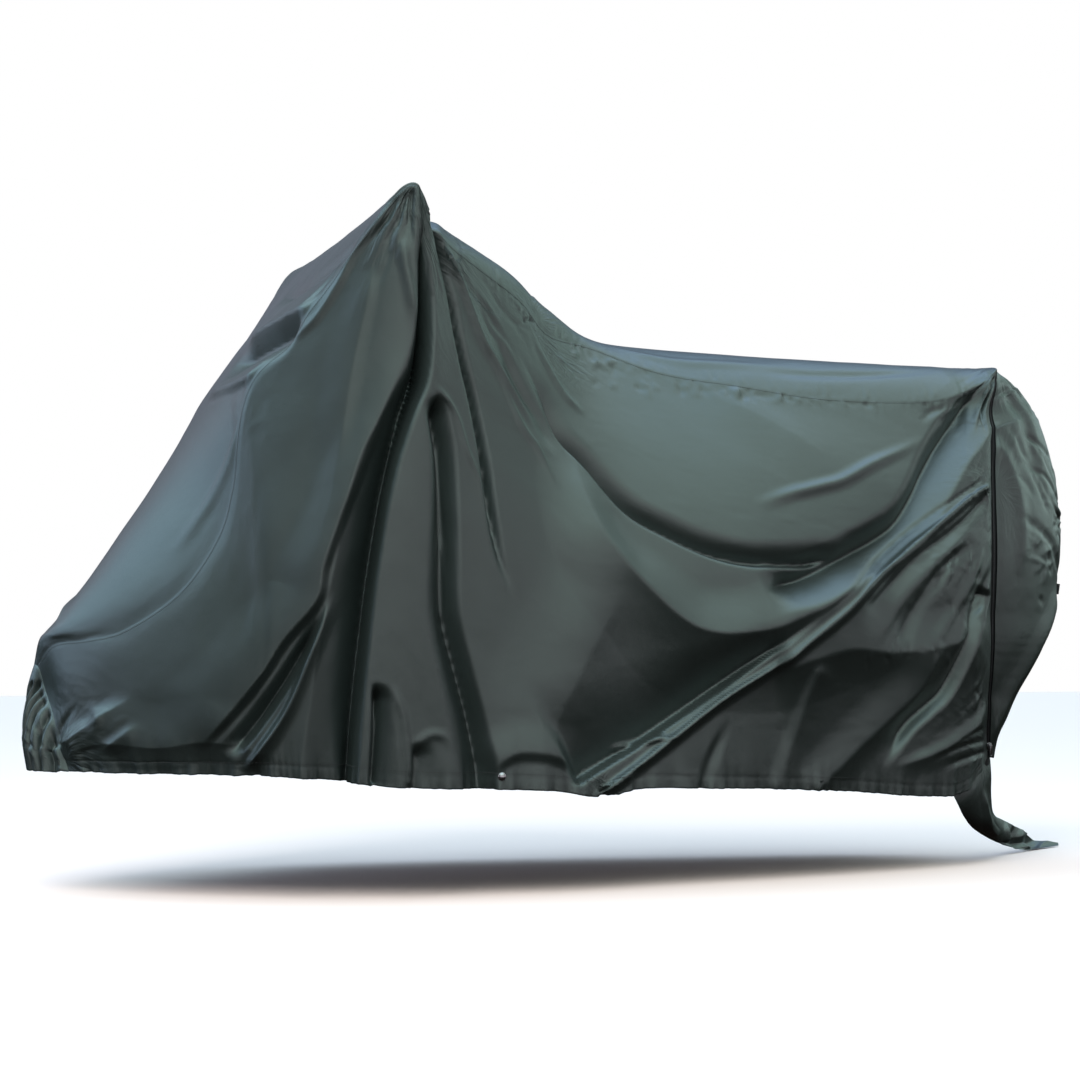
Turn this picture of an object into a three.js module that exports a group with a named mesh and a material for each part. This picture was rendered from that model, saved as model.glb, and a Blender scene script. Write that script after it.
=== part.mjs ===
// A fitted motorcycle cover, hanging from two high shoulders over a low seat line to a round tail.
// Millimetres. +X runs from nose to tail, +Y is the cover's right-hand side, +Z is up, and the
// floor under the flap is z = 0. The origin is on the floor under the middle of the cover.
import * as THREE from 'three';

// Cloth and sewing
const CENTRING = 19; // moves the finished cover along x, so that the origin is under its middle
const CLOTH = 2.0; // coated cloth with its seam allowances
const SEAM_GAP = 0.3; // between two pieces that are sewn edge to edge
const SHOULDER = 404; // distance of each shoulder peak from the middle plane
const ROWS = 22; // grid rows from the top seam down to the hem
const ACROSS = 12; // grid steps across the spine and across the tail
const NOSE_ACROSS = 2 * ACROSS; // grid steps across the gathered nose gusset

// Zip, fittings and flap
const ZIP_WIDTH = [2.4, 13, 14, 12, 10]; // from the tail corner down
const ZIP_TEETH = 0.8; // the teeth stand this far above the tape
const NARROWEST = 34; // least half width of a fold on this grid
const GATHER = 3.5; // height of the gathers in the nose gusset
const ZIP_START = 0.06; // share of the first grid step that the zip leaves free at the corner
const SLIDER = { length: 17, width: 11, height: 5 };
const PULL = { length: 27, width: 9, thick: 2, hole: 3.8 };
const STUD = { radius: 7, height: 3.2, at: [-404, 212] };
const TAB = { tall: 26, thick: 4, stands: 13, at: [-22, 556] };
const FLAP_ROWS = 16;
const FLAP_FROM = 600; // x where the flap starts along the left hem

// Rows of numbers under named columns
const named = (names, row) => Object.fromEntries(names.map((name, k) => [name, row[k]]));
const table = (names, rows) => rows.map((row) => named(names, row));

// Ribs of the side panels, nose to tail. top and hem are the rib's ends as [x, out, z], where out is
// the distance from the middle plane. full is how far the cloth stands out from the straight rib at a
// quarter, a half and three quarters of the way down, and bow shifts its middle along x. mid is the
// spine's crown on the middle plane as [x, z], square is how square the spine is across, lift is how
// far its edges stand up, lean moves the right-hand top outwards, and steps leads to the next rib.
const RIBS = table(['top', 'hem', 'full', 'bow', 'mid', 'square', 'lift', 'lean', 'steps'], [
  [[-1112, -18, 398], [-1070, 82, 214], [-5, 10, 6], 0, [-1117, 397], 2, 0, 66, 1],
  [[-1090, 28, 432], [-1045, 116, 214], [14, 14, 8], 0, [-1110, 437], 2, 0, 48, 1],
  [[-1042, 100, 443], [-1000, 157, 213], [12, 14, 10], 0, [-1098, 455], 2, 0, 24, 1],
  [[-985, 160, 462], [-945, 205, 213], [12, 18, 12], 0, [-1078, 480], 2, 0, 10, 2],
  [[-905, 228, 525], [-890, 245, 213], [15, 22, 14], 0, [-1027, 548], 2, 0, 0, 2],
  [[-850, 258, 612], [-835, 279, 212], [20, 30, 18], 0, [-975, 628], 2, 0, 0, 2],
  [[-826, 262, 700], [-785, 313, 212], [22, 32, 20], 0, [-921, 708], 2, 0, 0, 3],
  [[-805, 255, 858], [-745, 338, 209], [25, 38, 22], 0, [-828, 862], 2, 0, 0, 3],
  [[-735, 300, 960], [-705, 360, 205], [20, 32, 20], 0, [-760, 965], 2, 0, 0, 3],
  [[-660, 347, 1070], [-672, 378, 201], [15, 22, 14], 0, [-672, 1075], 2, 0, 0, 2],
  [[-592, 390, 1172], [-632, 386, 198], [8, 14, 10], 0, [-592, 1168], 2, 0, 0, 2],
  [[-553, SHOULDER, 1199], [-590, 388, 193], [6, 12, 8], 0, [-553, 1194], 2, 0, 0, 2],
  [[-529, 400, 1155], [-520, 386, 189], [8, 12, 8], 0, [-515, 1158], 2, 12, 0, 3],
  [[-491, 371, 1117], [-450, 384, 187], [10, 14, 8], 0, [-455, 1108], 2, 34, 0, 3],
  [[-411, 321, 1083], [-380, 378, 185], [18, 28, 16], 0, [-370, 1066], 2, 44, 0, 2],
  [[-319, 271, 1042], [-290, 371, 180], [24, 40, 22], 0, [-290, 1038], 2, 46, 0, 2],
  [[-255, 240, 990], [-204, 362, 168], [34, 58, 30], 0, [-215, 1020], 3, 38, 0, 2],
  [[-148, 182, 980], [-110, 348, 180], [60, 78, 38], 0, [-140, 1008], 4, 8, 0, 3],
  [[-12, 190, 940], [20, 330, 176], [66, 86, 45], 0, [-12, 1003], 4, 0, 0, 3],
  [[148, 200, 922], [150, 306, 172], [68, 90, 45], 0, [148, 1000], 4, 0, 0, 4],
  [[339, 200, 906], [330, 267, 162], [70, 85, 40], 0, [339, 1000], 4, 0, 0, 4],
  [[572, 180, 916], [520, 222, 146], [60, 72, 30], -6, [572, 1002], 4, 0, 0, 3],
  [[706, 150, 956], [640, 180, 150], [50, 66, 34], -18, [706, 1005], 4, 0, 0, 2],
  [[759, 130, 994], [726, 131, 213], [42, 70, 50], -42, [774, 1006], 4, 0, 0, 0],
]);

// Middle line of the tail panel, from the top down: at is the share of its height
const TAIL = table(['at', 'mid', 'square'], [
  [0, [774, 1006], 4],
  [0.1, [884, 966], 2.2],
  [0.2, [943, 890], 1.7],
  [0.32, [976, 785], 1.6],
  [0.46, [986, 660], 1.6],
  [0.58, [971, 553], 1.6],
  [0.7, [940, 448], 1.7],
  [0.83, [868, 340], 1.9],
  [0.94, [808, 248], 2.2],
  [1, [784, 210], 2.2],
]);

// Middle line of the nose gusset, from the nose tip down
const NOSE = table(['at', 'mid', 'square'], [
  [0, [-1117, 397], 2],
  [0.25, [-1130, 352], 2],
  [0.5, [-1137, 305], 2.2],
  [0.75, [-1138, 258], 2.4],
  [1, [-1130, 213], 2.4],
]);

// Folds of the left panel. path is the fold's line as [x, z], and rise its height, less than zero in a
// trough. left and right are its half widths at both ends of the path, to the left and right of the
// way the path runs. ends are the shares over which it grows in and dies out, and edge is 0 for a
// round fold to 1 for a sharp one.
const LEFT_FOLDS = table(['path', 'rise', 'left', 'right', 'ends', 'edge'], [
  [[[-540, 1160], [-536, 1000], [-542, 900], [-575, 815], [-612, 730], [-655, 600], [-695, 460],
    [-712, 340], [-725, 215]], -50, [10, 48], [9, 26], [0.3, 0.01], 0.1],
  [[[-587, 760], [-640, 655], [-687, 577], [-746, 462], [-800, 380], [-858, 317], [-900, 250]],
    17, [12, 20], [50, 90], [0.35, 0.25], 0.4],
  [[[-645, 640], [-693, 520], [-738, 415], [-785, 330], [-838, 250]],
    -24, [12, 16], [12, 24], [0.4, 0.2], 0.2],
  [[[-668, 560], [-711, 445], [-746, 358], [-775, 291], [-815, 222]],
    18, [12, 16], [10, 14], [0.4, 0.1], 0.5],
  [[[-556, 850], [-578, 730], [-602, 631], [-624, 515], [-634, 400], [-642, 305], [-660, 200]],
    14, [26, 44], [10, 12], [0.3, 0], 0.4],
  [[[-512, 850], [-518, 703], [-508, 569], [-500, 436], [-479, 335], [-450, 225]],
    -30, [14, 26], [16, 34], [0.12, 0], 0.1],
  [[[-527, 1150], [-504, 1087], [-486, 1007], [-467, 908], [-452, 829], [-429, 729], [-410, 626],
    [-390, 520], [-350, 420]], -17, [8, 12], [8, 12], [0.15, 0.45], 0.1],
  [[[-490, 1040], [-420, 940], [-355, 849], [-300, 720], [-262, 600]],
    9, [34, 60], [24, 50], [0.3, 0.5], 0.2],
  [[[-620, 330], [-612, 270], [-606, 195]], -16, [12, 18], [12, 18], [0.4, 0], 0.1],
  [[[-520, 285], [-512, 240], [-508, 188]], -14, [16, 24], [16, 24], [0.4, 0], 0.1],
  [[[-110, 520], [-190, 430], [-262, 340], [-285, 180]], 16, [80, 90], [70, 80], [0.3, 0], 0.2],
  [[[-420, 200], [-350, 236], [-290, 242], [-230, 226]], 10, [12, 12], [26, 26], [0.2, 0.2], 0.3],
  [[[-250, 830], [-196, 690], [-123, 565], [-27, 490], [71, 454], [177, 462], [264, 505],
    [400, 600], [520, 670]], 20, [70, 100], [34, 34], [0.3, 0.35], 0.5],
  [[[-100, 420], [20, 372], [130, 405], [250, 480], [400, 590], [540, 668]],
    -34, [50, 26], [60, 18], [0.35, 0.3], 0.2],
  [[[-290, 810], [-190, 723], [-109, 670], [-12, 627], [132, 606], [282, 612], [420, 670]],
    -15, [22, 22], [26, 26], [0.35, 0.15], 0.2],
  [[[115, 524], [210, 568], [335, 625], [435, 683], [500, 745], [575, 820], [665, 910], [745, 978]],
    -30, [16, 9], [24, 10], [0.35, 0.2], 0.1],
  [[[136, 690], [230, 722], [329, 756], [440, 796], [546, 836], [640, 880]],
    -9, [14, 14], [34, 30], [0.3, 0.4], 0.3],
  [[[-205, 172], [-109, 240], [-8, 306], [129, 395], [243, 477], [387, 572], [542, 673], [690, 750]],
    26, [14, 10], [55, 26], [0.05, 0.2], 0.6],
  [[[110, 392], [220, 428], [330, 436], [450, 440], [600, 452]],
    14, [70, 70], [60, 60], [0.3, 0.4], 0.4],
  [[[330, 530], [430, 592], [560, 668], [680, 738]], -13, [14, 8], [16, 10], [0.3, 0.3], 0.2],
  [[[370, 440], [430, 505], [520, 590], [660, 680]], -12, [20, 8], [22, 12], [0.3, 0.3], 0.2],
  [[[360, 180], [411, 245], [516, 329], [601, 405], [655, 480], [682, 528]],
    -28, [44, 8], [16, 8], [0.2, 0.15], 0.2],
  [[[415, 195], [484, 245], [571, 315], [616, 378], [655, 445], [682, 505]],
    15, [10, 8], [34, 16], [0.2, 0.2], 0.6],
  [[[520, 150], [590, 215], [655, 300], [695, 400]], -16, [20, 12], [30, 12], [0.2, 0.3], 0.2],
  [[[-60, 300], [-85, 176]], -9, [16, 20], [16, 20], [0.5, 0], 0.2],
  [[[60, 330], [20, 250], [0, 172]], -12, [16, 20], [16, 20], [0.5, 0], 0.2],
  [[[190, 320], [150, 240], [120, 168]], -11, [18, 20], [18, 20], [0.5, 0], 0.2],
  [[[300, 300], [260, 220], [240, 160]], -10, [18, 20], [18, 20], [0.5, 0], 0.2],
]);

// Folds of the right panel, in the same columns
const RIGHT_FOLDS = table(['path', 'rise', 'left', 'right', 'ends', 'edge'], [
  [[[-545, 1160], [-548, 1010], [-560, 880], [-600, 740], [-650, 590], [-690, 430], [-715, 215]],
    -42, [10, 40], [10, 30], [0.3, 0.01], 0.1],
  [[[-600, 800], [-680, 620], [-760, 450], [-850, 320], [-930, 250]],
    15, [14, 26], [50, 90], [0.35, 0.3], 0.3],
  [[[-520, 1120], [-500, 960], [-505, 790], [-530, 600], [-545, 400], [-540, 195]],
    -30, [12, 34], [12, 30], [0.2, 0], 0.1],
  [[[-500, 1090], [-440, 900], [-400, 700], [-385, 480], [-370, 190]],
    -20, [10, 30], [10, 26], [0.2, 0.05], 0.2],
  [[[-470, 1060], [-360, 860], [-290, 640], [-250, 400]], 12, [30, 60], [26, 50], [0.3, 0.4], 0.3],
  [[[-300, 860], [-210, 690], [-90, 560], [60, 500], [220, 520], [390, 620], [560, 760], [700, 900]],
    18, [80, 60], [34, 26], [0.3, 0.3], 0.4],
  [[[-140, 440], [40, 390], [200, 430], [380, 540], [560, 680]],
    -30, [50, 24], [56, 20], [0.35, 0.3], 0.2],
  [[[-240, 800], [-120, 690], [40, 640], [220, 660], [400, 760], [580, 870], [735, 970]],
    -22, [20, 10], [28, 12], [0.35, 0.15], 0.2],
  [[[-120, 176], [20, 260], [160, 330], [330, 430], [520, 560], [690, 700]],
    22, [16, 12], [60, 24], [0.1, 0.25], 0.5],
  [[[330, 165], [430, 270], [560, 390], [670, 540]], -24, [34, 12], [22, 10], [0.2, 0.2], 0.2],
  [[[90, 330], [50, 250], [30, 172]], -12, [18, 22], [18, 22], [0.5, 0], 0.2],
  [[[250, 320], [210, 240], [190, 160]], -11, [18, 22], [18, 22], [0.5, 0], 0.2],
]);

// Folds of the spine's front, seen from the nose: path is [y, z]
const FRONT_FOLDS = table(['path', 'rise', 'left', 'right', 'ends', 'edge'], [
  [[[-330, 1062], [-180, 1028], [0, 1006], [160, 1018], [310, 1075]],
    20, [46, 46], [26, 26], [0.2, 0.2], 0.3],
  [[[-310, 1010], [-190, 972], [-30, 950], [130, 962], [270, 1012]],
    -20, [24, 24], [34, 34], [0.25, 0.3], 0.3],
  [[[-360, 1140], [-250, 1096], [-120, 1080]], -8, [24, 24], [24, 24], [0.3, 0.4], 0.2],
]);

// Folds of the spine's top, seen from above: path is [x, y]
const TOP_FOLDS = table(['path', 'rise', 'left', 'right', 'ends', 'edge'], [
  [[[-510, -250], [-380, -120], [-230, 20], [-150, 90]], -9, [40, 30], [40, 30], [0.3, 0.4], 0.2],
  [[[-500, 260], [-390, 150], [-290, 60]], -8, [30, 26], [40, 26], [0.3, 0.4], 0.2],
  [[[60, -20], [300, 30], [560, 10]], -5, [50, 50], [50, 50], [0.4, 0.4], 0],
]);

// Folds of the tail panel, seen from behind: path is [y, z]
const TAIL_FOLDS = table(['path', 'rise', 'left', 'right', 'ends', 'edge'], [
  [[[-120, 980], [-105, 900], [-112, 800], [-120, 700]], -8, [16, 22], [16, 22], [0.2, 0.4], 0.1],
  [[[-150, 700], [-90, 640], [-30, 600], [10, 590]], -8, [18, 22], [18, 22], [0.3, 0.3], 0.2],
  [[[-130, 400], [-90, 300], [-60, 214]], -12, [18, 24], [18, 24], [0.4, 0], 0.2],
  [[[120, 460], [80, 330], [50, 214]], -12, [18, 24], [18, 24], [0.4, 0], 0.2],
  [[[0, 540], [-6, 400], [4, 260]], -9, [20, 24], [20, 24], [0.2, 0.3], 0.2],
  [[[150, 720], [90, 690], [20, 650]], -8, [20, 22], [20, 22], [0.3, 0.3], 0.2],
]);

// The flap: near and far are the two edges of each row, from under the zip to the tip on the floor, and
// belly is how far the row bulges away from the straight line between them, as [x, y, z]
const FLAP = table(['near', 'far', 'belly'], [
  [[598, -196, 134], [731, -131, 206], [0, -8, 0]],
  [[634, -168, 118], [744, -112, 168], [-6, -14, 0]],
  [[662, -138, 98], [756, -92, 130], [-4, -16, -4]],
  [[712, -92, 70], [784, -58, 94], [4, -18, -6]],
  [[790, -30, 42], [852, 16, 76], [8, -8, -10]],
  [[872, 32, 20], [926, 80, 56], [6, 0, -12]],
  [[952, 86, 5], [992, 134, 36], [4, 0, -10]],
  [[1024, 132, 3.4], [1044, 164, 20], [2, 0, -5]],
  [[1096, 172, 3], [1104, 184, 8], [0, 0, 0]],
]);

const COLOURS = { cloth: 0x47534f, zip: 0x15181a, metal: 0x8d9294, web: 0x111314 };

// Value at a place along the rows of a column of numbers, on a smooth curve through them
function spline(values, at) {
  const last = values.length - 1;
  const i = Math.min(Math.max(Math.floor(at), 0), last - 1);
  const f = at - i;
  const p1 = values[i];
  const p2 = values[i + 1];
  const p0 = i > 0 ? values[i - 1] : 2 * p1 - p2;
  const p3 = i + 2 <= last ? values[i + 2] : 2 * p2 - p1;
  const bend = 2 * p0 - 5 * p1 + 4 * p2 - p3;
  const twist = 3 * p1 - p0 - 3 * p2 + p3;
  return 0.5 * (2 * p1 + (p2 - p0) * f + bend * f * f + twist * f * f * f);
}

const column = (rows, pick) => rows.map(pick);
const mix = (a, b, t) => a + (b - a) * t;
const smooth = (t) => { const c = Math.min(Math.max(t, 0), 1); return c * c * (3 - 2 * c); };
const vec = (x, y, z) => new THREE.Vector3(x, y, z);

// Places along the ribs, with each rib's own number of steps to the next
function ribPlaces() {
  const places = [];
  RIBS.forEach((rib, k) => {
    for (let m = 0; m < rib.steps; m += 1) places.push(k + m / rib.steps);
  });
  places.push(RIBS.length - 1);
  return places;
}

// A fold's path as a fine polyline
function finePath(path) {
  const parts = 6;
  const points = [];
  for (let m = 0; m <= (path.length - 1) * parts; m += 1) {
    points.push([0, 1].map((axis) => spline(column(path, (p) => p[axis]), m / parts)));
  }
  return points;
}

// Height of one fold at the place (a, b) in the plane of its path
function foldHeight(fold, a, b) {
  const points = fold.fine;
  let best = { d2: Infinity, side: 1, along: 0 };
  for (let k = 0; k + 1 < points.length; k += 1) {
    const [x0, y0] = points[k];
    const dx = points[k + 1][0] - x0;
    const dy = points[k + 1][1] - y0;
    const t = Math.min(Math.max(((a - x0) * dx + (b - y0) * dy) / (dx * dx + dy * dy), 0), 1);
    const ex = a - x0 - t * dx;
    const ey = b - y0 - t * dy;
    const d2 = ex * ex + ey * ey;
    if (d2 < best.d2) best = { d2, side: dx * ey - dy * ex, along: (k + t) / (points.length - 1) };
  }
  const width = best.side > 0 ? fold.left : fold.right;
  const q = Math.sqrt(best.d2) / Math.max(mix(width[0], width[1], best.along), NARROWEST);
  if (q >= 1) return 0;
  const [grow, fade] = fold.ends;
  const ends = (grow ? smooth(best.along / grow) : 1) * (fade ? smooth((1 - best.along) / fade) : 1);
  const round = 0.5 + 0.5 * Math.cos(Math.PI * q);
  return fold.rise * ends * mix(round, (1 - q) ** 2, fold.edge);
}

// Height of a set of folds over the plane that plane(point) picks
function heights(folds, plane) {
  const ready = folds.map((f) => ({ ...f, fine: finePath(f.path) }));
  return (p) => {
    const [a, b] = plane(p);
    return ready.reduce((sum, f) => sum + foldHeight(f, a, b), 0);
  };
}

// Normals of a grid of points, pointing to the side that turn (1 or -1) says
function gridNormals(grid, turn) {
  const rows = grid.length;
  const cols = grid[0].length;
  return grid.map((line, i) => line.map((_, j) => {
    const along = grid[Math.min(i + 1, rows - 1)][j].clone().sub(grid[Math.max(i - 1, 0)][j]);
    const down = grid[i][Math.min(j + 1, cols - 1)].clone().sub(grid[i][Math.max(j - 1, 0)]);
    return along.cross(down).multiplyScalar(turn).normalize();
  }));
}

// One piece of cloth: a grid of points on its outer face, their normals, and the way each grid square
// is halved. height(point, line) is how far the folds move a point out; turn says which side is out.
class Sheet {
  constructor(grid, turn, height = () => 0, pinned = false) {
    const flat = gridNormals(grid, turn);
    const last = grid[0].length - 1;
    const high = grid.map((line, i) => line.map((p, j) => (
      pinned && (j === 0 || j === last) ? 0 : height(p, i))));
    this.base = grid.map((line, i) => line.map((p, j) => (
      p.clone().addScaledVector(flat[i][j], high[i][j]))));
    this.falling = grid.slice(1).map((line, i) => line.slice(1).map((_, j) => {
      const centre = grid[i][j].clone().add(grid[i + 1][j + 1]).multiplyScalar(0.5);
      const there = height(centre, i);
      const one = (high[i][j] + high[i + 1][j + 1]) / 2;
      const other = (high[i + 1][j] + high[i][j + 1]) / 2;
      return Math.abs(there - other) < Math.abs(there - one);
    }));
    this.turn = turn;
    this.normals = gridNormals(this.base, turn);
    this.grid = this.base.map((line) => line.map((p) => p.clone()));
    this.pulls = new Map();
  }

  // Moves an edge point off a seam. A corner lies on two seams, and ends up off both.
  pull([i, j], away, half) {
    const key = `${i},${j}`;
    const first = this.pulls.get(key);
    this.pulls.set(key, { away, half });
    this.grid[i][j].copy(this.base[i][j]);
    if (!first) {
      this.grid[i][j].addScaledVector(away, half);
      return;
    }
    const c = away.dot(first.away);
    const share = 1 / (1 - c * c);
    this.grid[i][j].addScaledVector(away, share * (half - c * first.half));
    this.grid[i][j].addScaledVector(first.away, share * (first.half - c * half));
  }

  edge(name) {
    const n = this.base.length - 1;
    const m = this.base[0].length - 1;
    if (name === 'first' || name === 'last') {
      return this.base[0].map((_, j) => [name === 'first' ? 0 : n, j]);
    }
    return this.base.map((_, i) => [i, name === 'top' ? 0 : m]);
  }

  // The direction from an edge point into the sheet
  inward(i, j, edge) {
    const n = this.base.length - 1;
    const m = this.base[0].length - 1;
    const runsAlong = edge[0][0] !== edge[1][0];
    const next = runsAlong ? this.base[i][j === 0 ? 1 : m - 1] : this.base[i === 0 ? 1 : n - 1][j];
    return next.clone().sub(this.base[i][j]);
  }
}

// Gives the points that several sheets share one common normal
function shareNormals(sheets) {
  const shared = new Map();
  sheets.forEach((sheet) => sheet.base.forEach((line, i) => line.forEach((p, j) => {
    const key = [p.x, p.y, p.z].map((v) => v.toFixed(4)).join();
    if (!shared.has(key)) shared.set(key, []);
    shared.get(key).push(sheet.normals[i][j]);
  })));
  shared.forEach((normals) => {
    const sum = normals.reduce((total, n) => total.add(n), vec(0, 0, 0)).normalize();
    normals.forEach((n) => n.copy(sum));
  });
}

// Point, normal and direction into the sheet for every point of an edge
function seamFrames(sheet, edge) {
  const points = edge.map(([i, j]) => sheet.base[i][j]);
  return edge.map(([i, j], k) => {
    const normal = sheet.normals[i][j];
    const along = points[Math.min(k + 1, points.length - 1)].clone().sub(points[Math.max(k - 1, 0)]);
    const away = along.cross(normal).normalize();
    if (away.dot(sheet.inward(i, j, edge)) < 0) away.negate();
    return { point: points[k], normal, away };
  });
}

// Draws the edges of two sheets that share their points apart, each by half the gap at its place
function sew(a, edgeA, b, edgeB, gap) {
  seamFrames(a, edgeA).forEach(({ away }, k) => {
    const half = gap(k) / 2;
    a.pull(edgeA[k], away, half);
    b.pull(edgeB[k], away.clone().negate(), half);
  });
}

const everySecond = (edge) => edge.filter((_, k) => k % 2 === 0);

// Sets every second point of an edge on the straight line between its neighbours
function straighten(sheet, edge) {
  for (let k = 1; k + 1 < edge.length; k += 2) {
    const [[p, q], [i, j], [r, s]] = edge.slice(k - 1, k + 2);
    sheet.grid[i][j].copy(sheet.grid[p][q]).lerp(sheet.grid[r][s], 0.5);
    sheet.normals[i][j].copy(sheet.normals[p][q]).lerp(sheet.normals[r][s], 0.5);
  }
}

function solid(points, faces) {
  const geometry = new THREE.BufferGeometry();
  geometry.setAttribute('position', new THREE.Float32BufferAttribute(points, 3));
  geometry.setIndex(faces);
  return geometry;
}

// A closed shell: the grid as its outer face and an inner face one thickness below it
function shell({ grid, normals, turn, falling }, thick) {
  const n = grid.length;
  const m = grid[0].length;
  const points = [];
  grid.forEach((line) => line.forEach((p) => points.push(p.x, p.y, p.z)));
  grid.forEach((line, i) => line.forEach((p, j) => {
    const q = p.clone().addScaledVector(normals[i][j], -thick);
    points.push(q.x, q.y, q.z);
  }));
  const outer = (i, j) => i * m + j;
  const under = (i, j) => n * m + i * m + j;
  const faces = [];
  const quad = (a, b, c, d) => {
    if (turn > 0) faces.push(a, b, c, a, c, d);
    else faces.push(a, c, b, a, d, c);
  };
  for (let i = 0; i + 1 < n; i += 1) {
    for (let j = 0; j + 1 < m; j += 1) {
      const out = [outer(i, j), outer(i + 1, j), outer(i + 1, j + 1), outer(i, j + 1)];
      const back = [under(i, j + 1), under(i + 1, j + 1), under(i + 1, j), under(i, j)];
      const from = falling[i][j] ? 1 : 0;
      quad(...[0, 1, 2, 3].map((k) => out[(k + from) % 4]));
      quad(...[0, 1, 2, 3].map((k) => back[(k + 1 - from) % 4]));
    }
    quad(outer(i, 0), under(i, 0), under(i + 1, 0), outer(i + 1, 0));
    quad(outer(i, m - 1), outer(i + 1, m - 1), under(i + 1, m - 1), under(i, m - 1));
  }
  for (let j = 0; j + 1 < m; j += 1) {
    quad(outer(0, j), outer(0, j + 1), under(0, j + 1), under(0, j));
    quad(outer(n - 1, j), under(n - 1, j), under(n - 1, j + 1), outer(n - 1, j + 1));
  }
  return solid(points, faces);
}

// A side panel's grid: one line of points for each place along the ribs. side is -1 for the left
function sidePanel(side) {
  const lean = side > 0 ? 1 : 0;
  return ribPlaces().map((at) => {
    const get = (pick) => spline(column(RIBS, pick), at);
    const top = [0, 1, 2].map((axis) => get((r) => r.top[axis]));
    const hem = [0, 1, 2].map((axis) => get((r) => r.hem[axis]));
    top[1] += lean * get((r) => r.lean);
    const full = [0, ...[0, 1, 2].map((k) => get((r) => r.full[k])), 0];
    const bow = get((r) => r.bow);
    const line = [];
    for (let j = 0; j <= ROWS; j += 1) {
      const t = j / ROWS;
      const out = mix(top[1], hem[1], t) + spline(full, 4 * t);
      const x = mix(top[0], hem[0], t) + bow * 4 * t * (1 - t);
      line.push(vec(x, side * out, mix(top[2], hem[2], t)));
    }
    return line;
  });
}

// Points from a left edge to a right edge through a crown, as a square or round arch
function arch(left, right, crown, { square, lift = 0, steps }) {
  const rise = crown.clone().sub(left.clone().lerp(right, 0.5));
  const points = [];
  for (let j = 0; j <= steps; j += 1) {
    const edge = Math.abs((2 * j) / steps - 1);
    const p = left.clone().lerp(right, j / steps);
    p.addScaledVector(rise, (1 - edge ** square) ** (square < 2.5 ? 0.85 : 1));
    p.z += lift * 4 * edge ** 4 * (1 - edge ** 4);
    points.push(p);
  }
  return points;
}

// The spine's grid runs between the top edges of the two side panels
function spineGrid(left, right) {
  return ribPlaces().map((at, i) => {
    const get = (pick) => spline(column(RIBS, pick), at);
    const a = left[i][0];
    const b = right[i][0];
    const crown = vec(get((r) => r.mid[0]), (a.y + b.y) / 2, get((r) => r.mid[1]));
    return arch(a, b, crown, { square: get((r) => r.square), lift: get((r) => r.lift), steps: ACROSS });
  });
}

// A panel's grid between two side edges, with its middle line from a table
function endGrid(leftEdge, rightEdge, table, steps) {
  const at = column(table, (r) => r.at);
  return leftEdge.map((a, i) => {
    const share = i / (leftEdge.length - 1);
    let k = 0;
    while (k < table.length - 2 && share > at[k + 1]) k += 1;
    const place = k + (share - at[k]) / (at[k + 1] - at[k]);
    const get = (pick) => spline(column(table, pick), place);
    const b = rightEdge[i];
    const crown = vec(get((r) => r.mid[0]), (a.y + b.y) / 2, get((r) => r.mid[1]));
    return arch(a, b, crown, { square: get((r) => r.square), steps });
  });
}

// The zip lies in the slit behind the left panel, with its teeth standing a little above the tape
function zipSheet(frames, width) {
  const across = table(['at', 'up'], [[1, 0], [0.3, ZIP_TEETH], [-0.3, ZIP_TEETH], [-1, 0]]);
  const start = frames[0].point.clone().lerp(frames[1].point, ZIP_START);
  const sheet = new Sheet(across.map(({ at, up }) => frames.map(({ point, normal, away }, k) => (
    (k === 0 ? start : point).clone()
      .addScaledVector(away, (at * width(k)) / 2).addScaledVector(normal, up)))), -1);
  sheet.normals = across.map(() => frames.map(({ normal }) => normal.clone()));
  return sheet;
}

// The flap starts at the hem between two columns of the left panel
function flapGrid(hemPoints) {
  const steps = hemPoints.length - 1;
  const lines = [hemPoints.map((p) => p.clone())];
  for (let i = 1; i <= FLAP_ROWS; i += 1) {
    const at = (i / FLAP_ROWS) * (FLAP.length - 1);
    const get = (name) => vec(...[0, 1, 2].map((axis) => spline(column(FLAP, (r) => r[name][axis]), at)));
    const near = get('near');
    const far = get('far');
    const belly = get('belly');
    lines.push(hemPoints.map((_, j) => (
      near.clone().lerp(far, j / steps).addScaledVector(belly, 4 * (j / steps) * (1 - j / steps)))));
  }
  return lines;
}

// A ring of points, round for square = 2 and boxier above
function ring(width, length, z, square, count = 16) {
  return Array.from({ length: count }, (_, k) => {
    const a = (2 * Math.PI * (k + 0.5)) / count;
    const bend = (v) => Math.sign(v) * Math.abs(v) ** (2 / square);
    return vec((width / 2) * bend(Math.cos(a)), (length / 2) * bend(Math.sin(a)), z);
  });
}

// A closed body through a stack of rings
function stack(rings) {
  const count = rings[0].length;
  const points = rings.flat().flatMap((p) => [p.x, p.y, p.z]);
  const faces = [];
  for (let k = 0; k < count; k += 1) {
    const next = (k + 1) % count;
    for (let r = 0; r + 1 < rings.length; r += 1) {
      const [a, b, c, d] = [r * count + k, r * count + next, (r + 1) * count + next, (r + 1) * count + k];
      faces.push(a, b, c, a, c, d);
    }
    if (k > 0 && k < count - 1) {
      const top = (rings.length - 1) * count;
      faces.push(0, k + 1, k, top, top + k, top + k + 1);
    }
  }
  return solid(points, faces);
}

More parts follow.
